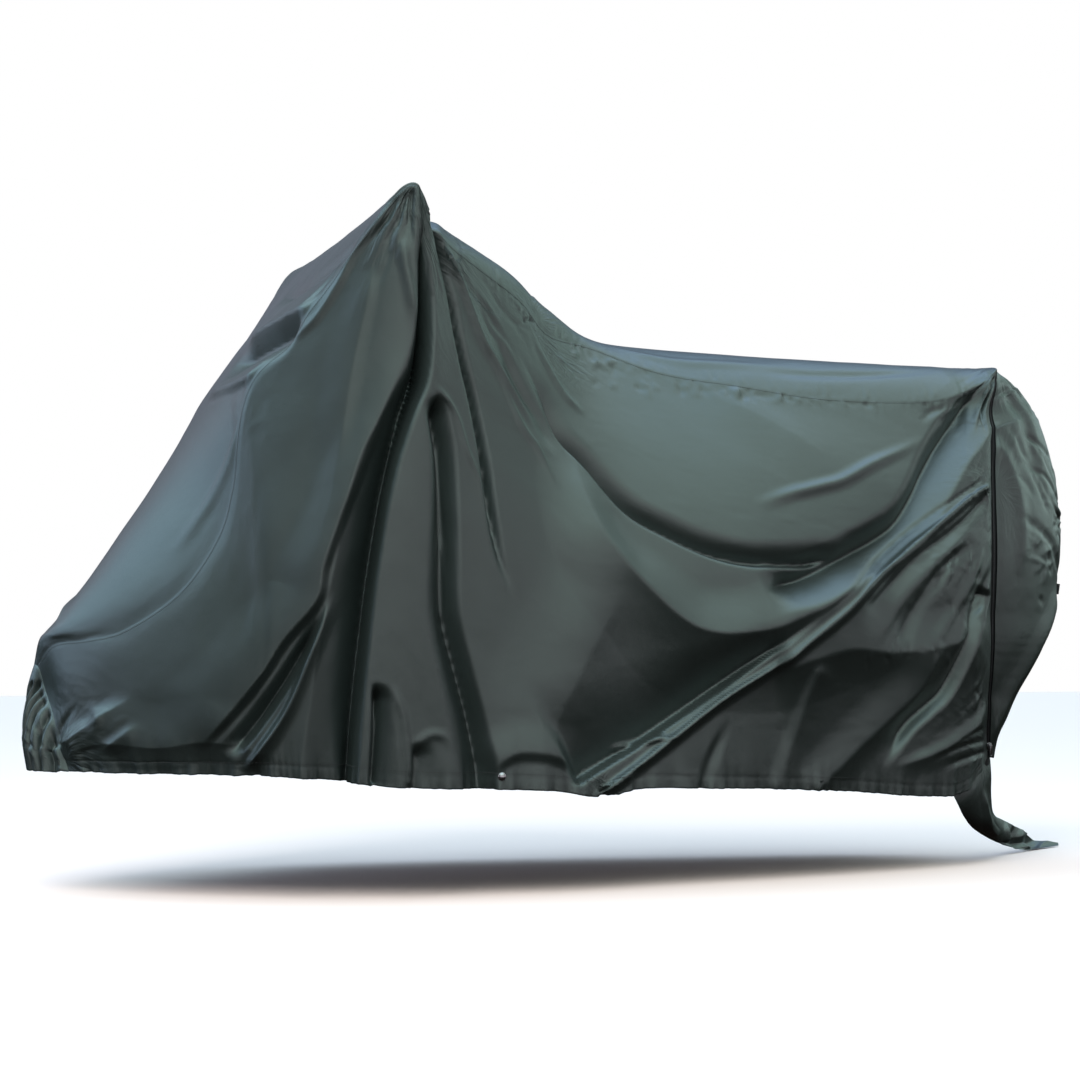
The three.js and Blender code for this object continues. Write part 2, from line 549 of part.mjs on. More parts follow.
// A flat plate with one hole, both outlines having as many points
function holedPlate(outline, hole, thick) {
  const count = outline.length;
  const low = [...outline, ...hole];
  const points = [0, thick].flatMap((up) => low.flatMap((p) => [p.x, p.y, p.z + up]));
  const faces = [];
  const quad = (a, b, c, d) => faces.push(a, b, c, a, c, d);
  for (let k = 0; k < count; k += 1) {
    const n = (k + 1) % count;
    const [a, b, c, d] = [k, n, count + n, count + k];
    const [e, f, g, h] = [a, b, c, d].map((v) => v + 2 * count);
    quad(a, d, c, b);
    quad(e, f, g, h);
    quad(a, b, f, e);
    quad(d, h, g, c);
  }
  return solid(points, faces);
}

// Moves a body from its own axes to a place: x across, y along and z out of the cloth
function place(geometry, point, across, out) {
  const along = out.clone().cross(across).normalize();
  const side = along.clone().cross(out).normalize();
  const matrix = new THREE.Matrix4().makeBasis(side, along, out).setPosition(point);
  return geometry.applyMatrix4(matrix);
}

// The middle of the grid square of a sheet nearest to a place, standing off far enough for a flat
// thing of that reach to clear the cloth around it
function footing(sheet, distance, reach) {
  const { grid } = sheet;
  const corners = (i, j) => [grid[i][j], grid[i + 1][j], grid[i + 1][j + 1], grid[i][j + 1]];
  let best = { d: Infinity };
  sheet.falling.forEach((line, i) => line.forEach((falls, j) => {
    const [a, b, c, d] = corners(i, j);
    const point = (falls ? b : a).clone().lerp(falls ? d : c, 0.5);
    if (distance(point) < best.d) best = { d: distance(point), i, j, point };
  }));
  const [a, b, c, d] = corners(best.i, best.j);
  const normal = c.clone().sub(a).cross(d.clone().sub(b)).multiplyScalar(sheet.turn).normalize();
  const slopes = [a, b, c, d].map((q) => q.clone().sub(best.point).normalize().dot(normal));
  const stand = Math.max(0, ...slopes) * reach + 2 * SEAM_GAP;
  return { point: best.point.addScaledVector(normal, stand), normal };
}

function part(name, geometry, color, roughness, metalness) {
  const mesh = new THREE.Mesh(geometry, new THREE.MeshStandardMaterial({ color, roughness, metalness }));
  mesh.name = name;
  root.add(mesh);
}

const root = new THREE.Group();
root.name = 'motorcycle_cover';
root.position.x = CENTRING;

// Panels of cloth
const sideView = (p) => [p.x, p.z];
const endView = (p) => [p.y, p.z];
const topView = (p) => [p.x, p.y];
const left = new Sheet(sidePanel(-1), -1, heights(LEFT_FOLDS, sideView));
const right = new Sheet(sidePanel(1), 1, heights(RIGHT_FOLDS, sideView));
const peak = ribPlaces().indexOf(RIBS.findIndex((r) => r.top[1] === SHOULDER));
const [frontHeight, topHeight] = [heights(FRONT_FOLDS, endView), heights(TOP_FOLDS, topView)];
const spineHeight = (p, line) => (line < peak ? frontHeight(p) : topHeight(p));
const spine = new Sheet(spineGrid(left.base, right.base), 1, spineHeight, true);
const rearMost = left.base.length - 1;
const tailGrid = endGrid(left.base[rearMost], right.base[rearMost], TAIL, ACROSS);
tailGrid[0] = spine.base[rearMost].map((p) => p.clone());
const tail = new Sheet(tailGrid, 1, heights(TAIL_FOLDS, endView), true);
const noseGrid = endGrid(everySecond(left.base[0]), everySecond(right.base[0]), NOSE, NOSE_ACROSS);
const gathers = (p) => GATHER * Math.sin(p.y / 5.2) * smooth((392 - p.z) / 60);
const nose = new Sheet(noseGrid, -1, gathers, true);
noseGrid[0].forEach((_, j) => {
  const [a, b] = [spine.base[0][j >> 1], spine.base[0][(j + 1) >> 1]];
  nose.base[0][j].copy(a).lerp(b, 0.5);
  nose.grid[0][j].copy(nose.base[0][j]);
});

// The flap hangs from the last columns of the left hem
const hemFrom = left.base.findIndex((line) => line[ROWS].x > FLAP_FROM);
const hemPoints = left.base.slice(hemFrom).map((line) => line[ROWS]);
const flap = new Sheet(flapGrid(hemPoints), 1);

shareNormals([left, right, spine, tail, nose, flap]);
const seam = () => SEAM_GAP;
const zipWidth = (k) => spline(ZIP_WIDTH, (k / ROWS) * (ZIP_WIDTH.length - 1));
const slit = seamFrames(left, left.edge('last'));
sew(left, left.edge('top'), spine, spine.edge('top'), seam);
sew(right, right.edge('top'), spine, spine.edge('bottom'), seam);
sew(spine, spine.edge('last'), tail, tail.edge('first'), seam);
sew(right, right.edge('last'), tail, tail.edge('bottom'), seam);
sew(left, left.edge('last'), tail, tail.edge('top'), (k) => zipWidth(k) + 2 * SEAM_GAP);
sew(spine, spine.edge('first'), nose, everySecond(nose.edge('first')), seam);
sew(left, everySecond(left.edge('first')), nose, nose.edge('top'), seam);
sew(right, everySecond(right.edge('first')), nose, nose.edge('bottom'), seam);
sew(left, left.edge('bottom').slice(hemFrom), flap, flap.edge('first'), seam);
straighten(nose, nose.edge('first'));
straighten(left, left.edge('first'));
straighten(right, right.edge('first'));

const zip = zipSheet(slit, zipWidth);
const cloth = (name, sheet) => part(name, shell(sheet, CLOTH), COLOURS.cloth, 0.45, 0);
cloth('side_panel_left', left);
cloth('side_panel_right', right);
cloth('spine_panel', spine);
cloth('tail_panel', tail);
cloth('nose_gusset', nose);
cloth('rear_flap', flap);
part('zip', shell(zip, CLOTH), COLOURS.zip, 0.7, 0);

// Slider near the foot of the zip, with its pull lying on it and hanging down
const foot = slit[ROWS - 1];
const onZip = foot.point.clone().lerp(slit[ROWS].point, 0.4);
onZip.addScaledVector(foot.normal, ZIP_TEETH + 2 * SEAM_GAP);
const rearward = foot.away.clone().negate();
const slider = [[0.8, 0], [1, 0.8], [1, SLIDER.height - 1.5], [0.75, SLIDER.height]];
part('zip_slider', place(
  stack(slider.map(([size, z]) => ring(SLIDER.width * size, SLIDER.length * size, z, 4))),
  onZip, rearward, foot.normal), COLOURS.metal, 0.35, 0.9);
const pullDown = vec(0, -(PULL.length / 2 - SLIDER.length / 4), SLIDER.height + 0.3);
const outline = ring(PULL.width, PULL.length, 0, 5);
const holeDown = vec(0, (PULL.width - PULL.length) / 2, 0);
const hole = ring(PULL.hole, PULL.hole, 0, 2).map((p) => p.add(holeDown));
const pull = holedPlate(outline, hole, PULL.thick).translate(pullDown.x, pullDown.y, pullDown.z);
part('zip_pull', place(pull, onZip, rearward, foot.normal), COLOURS.metal, 0.35, 0.9);

// Press stud near the hem and webbing tab on the tail
const studFoot = footing(left, (p) => Math.hypot(p.x - STUD.at[0], p.z - STUD.at[1]), STUD.radius);
const dome = [[0.9, 0], [1, 0.25], [0.85, 0.7], [0.4, 1]];
const studRings = dome.map(([size, up]) => [2 * STUD.radius * size, up * STUD.height]);
part('press_stud', place(
  stack(studRings.map(([across, z]) => ring(across, across, z, 2))),
  studFoot.point, vec(1, 0, 0), studFoot.normal), COLOURS.metal, 0.35, 0.9);
const tabFoot = footing(tail, (p) => Math.hypot(p.y - TAB.at[0], p.z - TAB.at[1]), TAB.tall / 2);
const webbing = [[1, 0], [1, TAB.stands - 2], [0.8, TAB.stands]];
part('tail_tab', place(
  stack(webbing.map(([size, z]) => ring(TAB.thick * size, TAB.tall * size, z, 5))),
  tabFoot.point, vec(0, 1, 0), tabFoot.normal), COLOURS.web, 0.8, 0);

export default root;
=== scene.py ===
"""A fitted motorcycle cover of coated cloth: sewn panels with their folds, zip, stud, tab and flap."""
import math

import bmesh
import bpy
import numpy as np
from mathutils import Matrix, Vector


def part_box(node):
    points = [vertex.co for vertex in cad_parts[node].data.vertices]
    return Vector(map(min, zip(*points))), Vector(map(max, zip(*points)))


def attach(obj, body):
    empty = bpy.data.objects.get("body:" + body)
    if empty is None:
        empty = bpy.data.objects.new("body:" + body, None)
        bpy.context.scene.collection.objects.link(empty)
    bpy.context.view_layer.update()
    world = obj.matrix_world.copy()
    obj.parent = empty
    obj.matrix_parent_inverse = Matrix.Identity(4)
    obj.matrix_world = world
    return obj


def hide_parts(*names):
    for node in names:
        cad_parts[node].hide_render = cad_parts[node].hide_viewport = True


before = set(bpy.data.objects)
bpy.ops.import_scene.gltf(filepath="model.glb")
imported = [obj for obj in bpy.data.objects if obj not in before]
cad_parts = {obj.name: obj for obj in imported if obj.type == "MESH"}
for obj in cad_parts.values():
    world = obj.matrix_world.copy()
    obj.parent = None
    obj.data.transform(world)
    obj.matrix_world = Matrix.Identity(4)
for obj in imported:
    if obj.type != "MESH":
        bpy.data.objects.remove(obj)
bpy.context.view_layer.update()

# ---------------------------------------------------------------- sizes, in millimetres
CENTRING = 19.0  # moves the tables' frame along x to the part's frame
SHOULDER = 404
CLOTH_STEP, RIGHT_STEP = 5.6, 7.0  # spacing of the cloth grids, and of the right panel's rows
SLIT_ROWS, NOSE_ROWS = 180, 70  # grid rows down the tail with its zip slit, and down the nose
PEAK = 11  # the rib at the shoulder
TURNED_UP = (5, 11, 18)  # how far the rows of a turned hem lie above its edge, behind the cloth
SEAM_LINE, HEM_LINE = 3, -16  # grid rows of a side panel that carry its stitches
SEEDS = {"left": 11, "right": 23, "spine": 31, "tail": 41, "nose": 47, "flap": 53}
ELASTIC = {"tail": (31, 3.4, 60), "nose": (9, 0.8, 14)}  # wave, height and reach of the gathers


def table(names, rows):
    """Rows of numbers under named columns."""
    return [dict(zip(names, row)) for row in rows]


# Ribs of the side panels, nose to tail: their ends at the top seam and at the hem as (x, out, z), the
# fullness at a quarter, a half and three quarters of the way down, the bow along x, the spine's crown
# on the middle plane as (x, z), how square the spine is, the lift of its edges and the right top's lean.
RIBS = table(("top", "hem", "full", "bow", "mid", "square", "lift", "lean"), [
    [(-1112, -18, 398), (-1070, 82, 214), (-5, 10, 6), 0, (-1117, 397), 2, 0, 66],
    [(-1090, 28, 432), (-1045, 116, 214), (14, 14, 8), 0, (-1110, 437), 2, 0, 48],
    [(-1042, 100, 443), (-1000, 157, 213), (12, 14, 10), 0, (-1098, 455), 2, 0, 24],
    [(-985, 160, 462), (-945, 205, 213), (12, 18, 12), 0, (-1078, 480), 2, 0, 10],
    [(-905, 228, 525), (-890, 245, 213), (15, 22, 14), 0, (-1027, 548), 2, 0, 0],
    [(-850, 258, 612), (-835, 279, 212), (20, 30, 18), 0, (-975, 628), 2, 0, 0],
    [(-826, 262, 700), (-785, 313, 212), (22, 32, 20), 0, (-921, 708), 2, 0, 0],
    [(-805, 255, 858), (-745, 338, 209), (25, 38, 22), 0, (-828, 862), 2, 0, 0],
    [(-735, 300, 960), (-705, 360, 205), (20, 32, 20), 0, (-760, 965), 2, 0, 0],
    [(-660, 347, 1070), (-672, 378, 201), (15, 22, 14), 0, (-672, 1075), 2, 0, 0],
    [(-592, 390, 1172), (-632, 386, 198), (8, 14, 10), 0, (-592, 1168), 2, 0, 0],
    [(-553, SHOULDER, 1199), (-590, 388, 193), (6, 12, 8), 0, (-553, 1194), 2, 0, 0],
    [(-529, 400, 1155), (-520, 386, 189), (8, 12, 8), 0, (-515, 1158), 2, 12, 0],
    [(-491, 371, 1117), (-450, 384, 187), (10, 14, 8), 0, (-455, 1108), 2, 34, 0],
    [(-411, 321, 1083), (-380, 378, 185), (18, 28, 16), 0, (-370, 1066), 2, 44, 0],
    [(-319, 271, 1042), (-290, 371, 180), (24, 40, 22), 0, (-290, 1038), 2, 46, 0],
    [(-255, 240, 990), (-204, 362, 168), (34, 58, 30), 0, (-215, 1020), 3, 38, 0],
    [(-148, 182, 980), (-110, 348, 180), (60, 78, 38), 0, (-140, 1008), 4, 8, 0],
    [(-12, 190, 940), (20, 330, 176), (66, 86, 45), 0, (-12, 1003), 4, 0, 0],
    [(148, 200, 922), (150, 306, 172), (68, 90, 45), 0, (148, 1000), 4, 0, 0],
    [(339, 200, 906), (330, 267, 162), (70, 85, 40), 0, (339, 1000), 4, 0, 0],
    [(572, 180, 916), (520, 222, 146), (60, 72, 30), -6, (572, 1002), 4, 0, 0],
    [(706, 150, 956), (640, 180, 150), (50, 66, 34), -18, (706, 1005), 4, 0, 0],
    [(759, 130, 994), (726, 131, 213), (42, 70, 50), -42, (774, 1006), 4, 0, 0],
])

# How widely the crease at the top seam is rounded, by rib
ROUND_SEAM = table(("rib", "mm"), [[0, 30], [3, 70], [6, 50], [8, 22], [10, 12], [12, 8], [15, 8], [23, 8]])

# Middle line of the tail panel, from the top down
TAIL = table(("at", "mid", "square"), [
    [0, (774, 1006), 4], [0.1, (884, 966), 2.2], [0.2, (943, 890), 1.7], [0.32, (976, 785), 1.6],
    [0.46, (986, 660), 1.6], [0.58, (971, 553), 1.6], [0.7, (940, 448), 1.7], [0.83, (868, 340), 1.9],
    [0.94, (808, 248), 2.2], [1, (784, 210), 2.2],
])

# Middle line of the nose gusset, from the nose tip down
NOSE = table(("at", "mid", "square"), [
    [0, (-1117, 397), 2], [0.25, (-1130, 352), 2], [0.5, (-1137, 305), 2.2], [0.75, (-1138, 258), 2.4],
    [1, (-1130, 213), 2.4],
])

# The flap's two edges and its belly, from under the zip to the tip on the floor
FLAP = table(("near", "far", "belly"), [
    [(604, -182, 156), (738, -116, 234), (0, -4, 0)],
    [(630, -170, 122), (744, -112, 180), (-6, -12, 0)],
    [(662, -138, 98), (756, -92, 130), (-4, -16, -4)],
    [(712, -92, 70), (784, -58, 94), (4, -18, -6)],
    [(790, -30, 42), (852, 16, 76), (8, -8, -10)],
    [(872, 32, 20), (926, 80, 56), (6, 0, -12)],
    [(952, 86, 5), (992, 134, 36), (4, 0, -10)],
    [(1024, 132, 3.4), (1044, 164, 20), (2, 0, -5)],
    [(1096, 172, 3), (1104, 184, 8), (0, 0, 0)],
])
# Its crumpled far end, along the flap and across it
FLAP_FOLDS = [((310, 6), (390, 34), (470, 50), (550, 40)), ((290, 84), (335, 44), (370, 2)),
              ((345, 84), (395, 44), (440, 4)), ((400, 80), (440, 50), (500, 12)),
              ((455, 76), (495, 46), (545, 20)), ((60, 90), (170, 40), (280, 30))]
ZIP_WIDTH = (2.4, 14, 18, 12, 9)

# Folds: the line of the fold, its height (below zero in a trough), its half widths to the left and
# right of the way the line runs, at both of its ends, the shares over which it grows in and dies out,
# how sharp it is on each side (0 round, 1 creased, 2 straight like a bent board), and how far its top
# leans over to the left.
FOLD = ("path", "rise", "left", "right", "ends", "edge", "lean")
LEFT_FOLDS = table(FOLD, [
    # the deep trough under the shoulder and the rolls of cloth in front of it
    [((-540, 1170), (-537, 1080), (-530, 1000), (-533, 930), (-542, 875), (-564, 825), (-584, 772),
      (-600, 725), (-616, 650), (-630, 560), (-640, 480), (-650, 380), (-657, 290), (-662, 198)),
     -74, (12, 22), (12, 70), (0.2, 0), (1.2, 1.7), 0],
    [((-550, 960), (-585, 870), (-630, 755), (-668, 650), (-697, 560), (-709, 499), (-758, 433),
      (-791, 377), (-838, 309), (-885, 250)),
     15, (10, 13), (40, 120), (0.35, 0.12), (0.4, 0.2), 0],
    [((-702, 480), (-735, 410), (-775, 335), (-835, 240)),
     -26, (12, 18), (10, 26), (0.35, 0.1), (0.4, 0.6), -4],
    [((-680, 520), (-703, 456), (-721, 402), (-745, 335), (-768, 290), (-814, 214)),
     15, (16, 26), (8, 11), (0.35, 0.08), (0.9, 0.5), 3],
    [((-616, 364), (-614, 290), (-616, 200)), -32, (24, 44), (9, 13), (0.2, 0), (1.4, 0.6), 0],
    [((-588, 362), (-566, 299), (-554, 200)), 4, (9, 10), (8, 10), (0.3, 0), (0.5, 0.6), 0],
    [((-546, 268), (-544, 230), (-546, 188)), -17, (32, 52), (9, 12), (0.35, 0), (1.3, 0.6), 0],
    [((-556, 216), (-548, 256), (-522, 279), (-494, 275), (-474, 244)),
     3, (9, 9), (14, 18), (0.3, 0.4), (0.6, 0.3), 0],
    # the trough with a round top, and the narrow one that runs down from the peak
    [((-513, 848), (-501, 800), (-491, 740), (-488, 640), (-488, 571), (-485, 478), (-462, 385),
      (-441, 309), (-424, 232), (-420, 186)), -42, (15, 22), (30, 54), (0.09, 0), (1.2, 1.5), 0],
    [((-522, 862), (-493, 840), (-473, 809), (-455, 757), (-432, 705), (-420, 640)),
     5, (7, 9), (6, 8), (0.2, 0.4), (0.5, 0.5), 0],
    [((-528, 1158), (-513, 1128), (-483, 1034), (-462, 934), (-437, 835), (-420, 744), (-408, 650),
      (-393, 574), (-365, 500)), -28, (9, 13), (10, 14), (0.06, 0.35), (1.2, 1.2), 0],
    [((-507, 1135), (-458, 1048), (-417, 961), (-391, 924), (-334, 847), (-244, 772)),
     8, (10, 14), (10, 20), (0.15, 0.4), (0.6, 0.5), 0],
    [((-385, 905), (-341, 815), (-305, 767), (-270, 690)),
     5, (8, 10), (10, 14), (0.3, 0.4), (0.6, 0.4), 0],
    [((-300, 985), (-238, 883), (-189, 841)), 4, (9, 12), (9, 12), (0.3, 0.4), (0.5, 0.5), 0],
    [((-395, 1010), (-350, 900), (-300, 820), (-262, 760)),
     -6, (14, 22), (14, 22), (0.3, 0.3), (0.1, 0.1), 0],
    # the swags that hang from the tail corner
    [((-340, 950), (-289, 870), (-257, 799), (-204, 744), (-133, 670), (-65, 632), (15, 598),
      (88, 583), (160, 582), (230, 585), (300, 600)),
     -27, (32, 46), (12, 15), (0.3, 0.1), (0.9, 1.2), -2],
    [((118, 522), (170, 540), (223, 555), (330, 603), (400, 636), (455, 670), (500, 720), (537, 772),
      (585, 828), (640, 880), (700, 935), (738, 972)),
     -46, (50, 36), (44, 72), (0.12, 0.14), (1.3, 1.9), 0],
    [((40, 905), (140, 872), (240, 820), (340, 765)),
     6, (60, 80), (90, 100), (0.4, 0.4), (0.6, 0.2), 0],
    [((110, 682), (191, 710), (263, 728), (318, 743), (394, 778), (475, 810), (560, 846)),
     9, (16, 14), (24, 20), (0.25, 0.4), (0.7, 0.3), -2],
    [((-280, 840), (-239, 767), (-230, 704), (-206, 627), (-164, 569), (-113, 526), (-58, 482),
      (-14, 459), (35, 452), (88, 455), (134, 462), (186, 483), (268, 515), (329, 545), (400, 590)),
     30, (60, 110), (70, 190), (0.3, 0.12), (0.6, 1.4), 2],
    [((-150, 570), (-182, 492), (-222, 425), (-258, 356), (-285, 304), (-298, 232), (-304, 160)),
     13, (130, 150), (170, 170), (0.35, 0), (1.2, 0.1), 0],
    # the long roll up from the hem, the valley behind it and the skirt under it
    [((-218, 162), (-118, 224), (-38, 278), (44, 334), (134, 388), (190, 430), (243, 465),
      (281, 490), (350, 540), (443, 602), (543, 667), (625, 717), (700, 752)),
     16, (12, 9), (18, 12), (0.03, 0.04), (0.3, 1.2), 3],
    [((134, 388), (190, 430), (243, 465), (281, 490), (350, 540), (443, 602), (543, 667),
      (625, 717), (692, 748)), -5, (7, 6), (7, 6), (0.3, 0.06), (0.2, 0.2), 3],
    [((-262, 188), (-220, 212), (-150, 246), (-62, 296), (20, 346), (100, 398), (175, 450),
      (250, 502)), -36, (220, 16), (11, 8), (0.1, 0.4), (0.9, 0.3), -5],
    [((215, 476), (300, 530), (430, 620), (545, 694), (676, 763)),
     -6, (8, 7), (6, 6), (0.3, 0.04), (0.9, 0.9), 0],
    [((140, 385), (181, 396), (230, 411), (304, 428), (389, 423), (443, 424), (577, 442),
      (622, 470), (654, 525)), 19, (110, 60), (200, 150), (0.12, 0.2), (0.6, 1.5), 0],
    [((540, 440), (516, 411), (478, 342), (390, 275), (324, 223), (262, 172)),
     11, (44, 60), (90, 70), (0.3, 0), (0.9, 0.3), 0],
    [((236, 408), (215, 330), (170, 176)), 6, (60, 70), (10, 30), (0.2, 0), (0.8, 0.4), 0],
    [((60, 300), (25, 230), (10, 176)), -7, (16, 20), (16, 20), (0.5, 0), (0.2, 0.2), 0],
    # the folds that end at the zip
    [((684, 728), (592, 665), (474, 596), (390, 530), (326, 488)),
     -8, (26, 34), (12, 16), (0.06, 0.35), (0.5, 0.4), 0],
    [((655, 690), (563, 618), (473, 550), (400, 480), (350, 436)),
     4, (14, 24), (22, 26), (0.25, 0.3), (0.4, 0.4), 0],
    [((640, 640), (556, 590), (480, 518), (415, 432)),
     -6, (24, 34), (16, 20), (0.25, 0.1), (0.2, 0.6), 0],
    [((668, 650), (620, 560), (560, 490), (500, 432)),
     4, (16, 22), (16, 24), (0.25, 0.15), (0.5, 0.4), 0],
    [((690, 600), (655, 540), (632, 495), (600, 460)),
     -5, (14, 16), (18, 24), (0.3, 0.3), (0.3, 0.2), 0],
    [((668, 545), (660, 526), (641, 493), (619, 446), (592, 386), (565, 341), (529, 313),
      (480, 276), (410, 200)), -25, (22, 13), (34, 64), (0.09, 0.12), (1.7, 0.8), 0],
    [((700, 345), (668, 284), (587, 243), (500, 216), (440, 200)),
     9, (50, 40), (30, 14), (0.3, 0.35), (0.9, 0.4), 0],
    [((713, 224), (640, 214), (570, 198)), -5, (6, 12), (9, 18), (0.1, 0.4), (0.6, 1.2), 0],
    [((708, 246), (620, 238), (520, 208)), -4, (6, 12), (9, 16), (0.1, 0.4), (0.5, 1.2), 0],
    [((704, 272), (640, 262), (560, 226)), -3, (8, 14), (8, 14), (0.2, 0.5), (0.4, 0.9), 0],
    [((748, 984), (700, 945), (640, 915)), -6, (7, 9), (7, 9), (0.1, 0.5), (0.6, 0.6), 0],
    [((752, 980), (725, 915), (705, 850)), -8, (7, 9), (7, 9), (0.1, 0.5), (0.6, 0.6), 0],
    [((750, 985), (690, 962), (600, 935)), -5, (7, 9), (7, 9), (0.1, 0.5), (0.6, 0.6), 0],
    [((740, 960), (709, 905), (667, 839)), 6, (7, 9), (8, 12), (0.1, 0.5), (0.6, 0.6), 0],
    # hem folds, creases at the nose and at the peak
    [((-412, 208), (-376, 237), (-331, 240), (-287, 231), (-240, 205)),
     7, (70, 70), (13, 15), (0.2, 0.25), (0.2, 1.2), 3],
    [((-178, 250), (-109, 262), (-37, 270)), 8, (8, 8), (9, 9), (0.3, 0.3), (0.3, 0.3), 0],
    [((-1080, 252), (-1032, 298), (-974, 346)),
     10, (16, 24), (36, 50), (0.15, 0.45), (1.4, 0.5), 0],
    [((-1020, 246), (-964, 300)), 6, (14, 18), (26, 30), (0.3, 0.5), (1.4, 0.6), 0],
    [((-1061, 330), (-1078, 290), (-1080, 250)), -5, (9, 9), (9, 9), (0.4, 0.1), (1, 1), 0],
    [((-1074, 222), (-1050, 250), (-1010, 262), (-940, 256), (-880, 266), (-830, 262), (-790, 250),
      (-740, 230)), 9, (80, 80), (42, 36), (0.1, 0.25), (0.2, 1.6), 0],
    [((-568, 1186), (-577, 1150), (-590, 1108)), -10, (7, 8), (7, 8), (0.2, 0.4), (0.9, 0.9), 0],
    [((-559, 1194), (-562, 1150), (-560, 1090)), -10, (7, 7), (6, 7), (0.15, 0.4), (0.9, 0.9), 0],
    [((-547, 1196), (-543, 1168), (-537, 1122)), -8, (6, 7), (6, 7), (0.2, 0.4), (0.9, 0.9), 0],
    [((-577, 1180), (-600, 1140), (-632, 1090)), -6, (7, 8), (7, 8), (0.2, 0.4), (0.9, 0.9), 0],
    [((-573, 1120), (-571, 1072), (-561, 1022), (-550, 949)),
     7, (9, 12), (14, 20), (0.3, 0.3), (0.3, 0.2), 0],
    [((-621, 1075), (-625, 1013), (-649, 903), (-675, 737), (-700, 600)),
     4, (10, 30), (40, 60), (0.3, 0.4), (0.9, 0.2), 0],
    [((-583, 1176), (-645, 1088), (-670, 1034), (-707, 972), (-747, 936)),
     5, (9, 12), (9, 14), (0.1, 0.3), (0.8, 0.5), 0],
])
RIGHT_FOLDS = table(FOLD, [
    [((-545, 1160), (-548, 1010), (-560, 880), (-600, 740), (-650, 590), (-690, 430), (-715, 215)),
     -46, (10, 44), (10, 34), (0.3, 0.01), (0.1, 0.3), 0],
    [((-600, 800), (-680, 620), (-760, 450), (-850, 320), (-930, 250)),
     16, (14, 26), (50, 90), (0.35, 0.3), (0.3, 0.3), 0],
    [((-520, 1120), (-500, 960), (-505, 790), (-530, 600), (-545, 400), (-540, 195)),
     -32, (12, 34), (12, 30), (0.2, 0), (0.1, 0.4), 0],
    [((-500, 1090), (-440, 900), (-400, 700), (-385, 480), (-370, 190)),
     -22, (10, 30), (10, 26), (0.2, 0.05), (0.2, 0.4), 0],
    [((-470, 1060), (-360, 860), (-290, 640), (-250, 400)),
     12, (30, 60), (26, 50), (0.3, 0.4), (0.3, 0.3), 0],
    [((-300, 860), (-210, 690), (-90, 560), (60, 500), (220, 520), (390, 620), (560, 760), (700, 900)),
     20, (80, 60), (34, 26), (0.3, 0.3), (0.4, 0.6), 0],
    [((-140, 440), (40, 390), (200, 430), (380, 540), (560, 680)),
     -34, (50, 24), (56, 20), (0.35, 0.3), (0.2, 0.1), 0],
    [((-240, 800), (-120, 690), (40, 640), (220, 660), (400, 760), (580, 870), (735, 970)),
     -26, (40, 14), (28, 12), (0.35, 0.15), (0.6, 0.1), 0],
    [((-120, 176), (20, 260), (160, 330), (330, 430), (520, 560), (690, 700)),
     24, (14, 12), (60, 24), (0.1, 0.25), (0.4, 0.5), 6],
    [((330, 165), (430, 270), (560, 390), (670, 540)),
     -26, (34, 12), (22, 10), (0.2, 0.2), (0.2, 0.2), 0],
    [((90, 330), (50, 250), (30, 172)), -12, (18, 22), (18, 22), (0.5, 0), (0.2, 0.2), 0],
    [((250, 320), (210, 240), (190, 160)), -11, (18, 22), (18, 22), (0.5, 0), (0.2, 0.2), 0],
    [((-250, 420), (-300, 300), (-310, 185)), -14, (30, 40), (30, 40), (0.4, 0), (0.2, 0.2), 0],
    [((-800, 330), (-840, 215)), -10, (16, 20), (16, 20), (0.5, 0), (0.2, 0.2), 0],
    [((748, 984), (690, 940), (620, 905)), -6, (7, 9), (7, 9), (0.1, 0.5), (0.4, 0.4), 0],
    [((752, 980), (722, 900), (700, 820)), -7, (7, 10), (7, 10), (0.1, 0.5), (0.4, 0.4), 0],
])
FRONT_FOLDS = table(FOLD, [
    [((-322, 994), (-240, 990), (-150, 984), (-90, 976), (-20, 968)),
     14, (60, 70), (34, 36), (0.1, 0.3), (1.6, 1.7), 0],
    [((-324, 958), (-250, 956), (-197, 951), (-140, 945), (-84, 939), (-20, 932)),
     -22, (34, 36), (46, 50), (0.08, 0.3), (1.7, 1.7), 0],
    [((-300, 890), (-196, 880), (-69, 880), (40, 896)),
     9, (30, 30), (20, 26), (0.2, 0.4), (1.6, 0.4), 0],
    [((-340, 1112), (-300, 1088), (-200, 1072), (-110, 1066), (0, 1072), (120, 1090)),
     -14, (26, 44), (24, 44), (0.2, 0.3), (1.1, 0.9), 0],
    [((-372, 1150), (-318, 1060), (-285, 960)), -4, (9, 12), (9, 12), (0.2, 0.4), (0.9, 0.6), 0],
    [((-262, 840), (-225, 700), (-180, 560)), 4, (14, 18), (20, 24), (0.3, 0.4), (0.3, 0.3), 0],
    [((-20, 470), (60, 520), (120, 600)), 5, (14, 18), (14, 18), (0.3, 0.4), (0.4, 0.4), 0],
    [((300, 1100), (250, 980), (235, 860)), -7, (12, 16), (12, 16), (0.3, 0.4), (0.3, 0.3), 0],
])
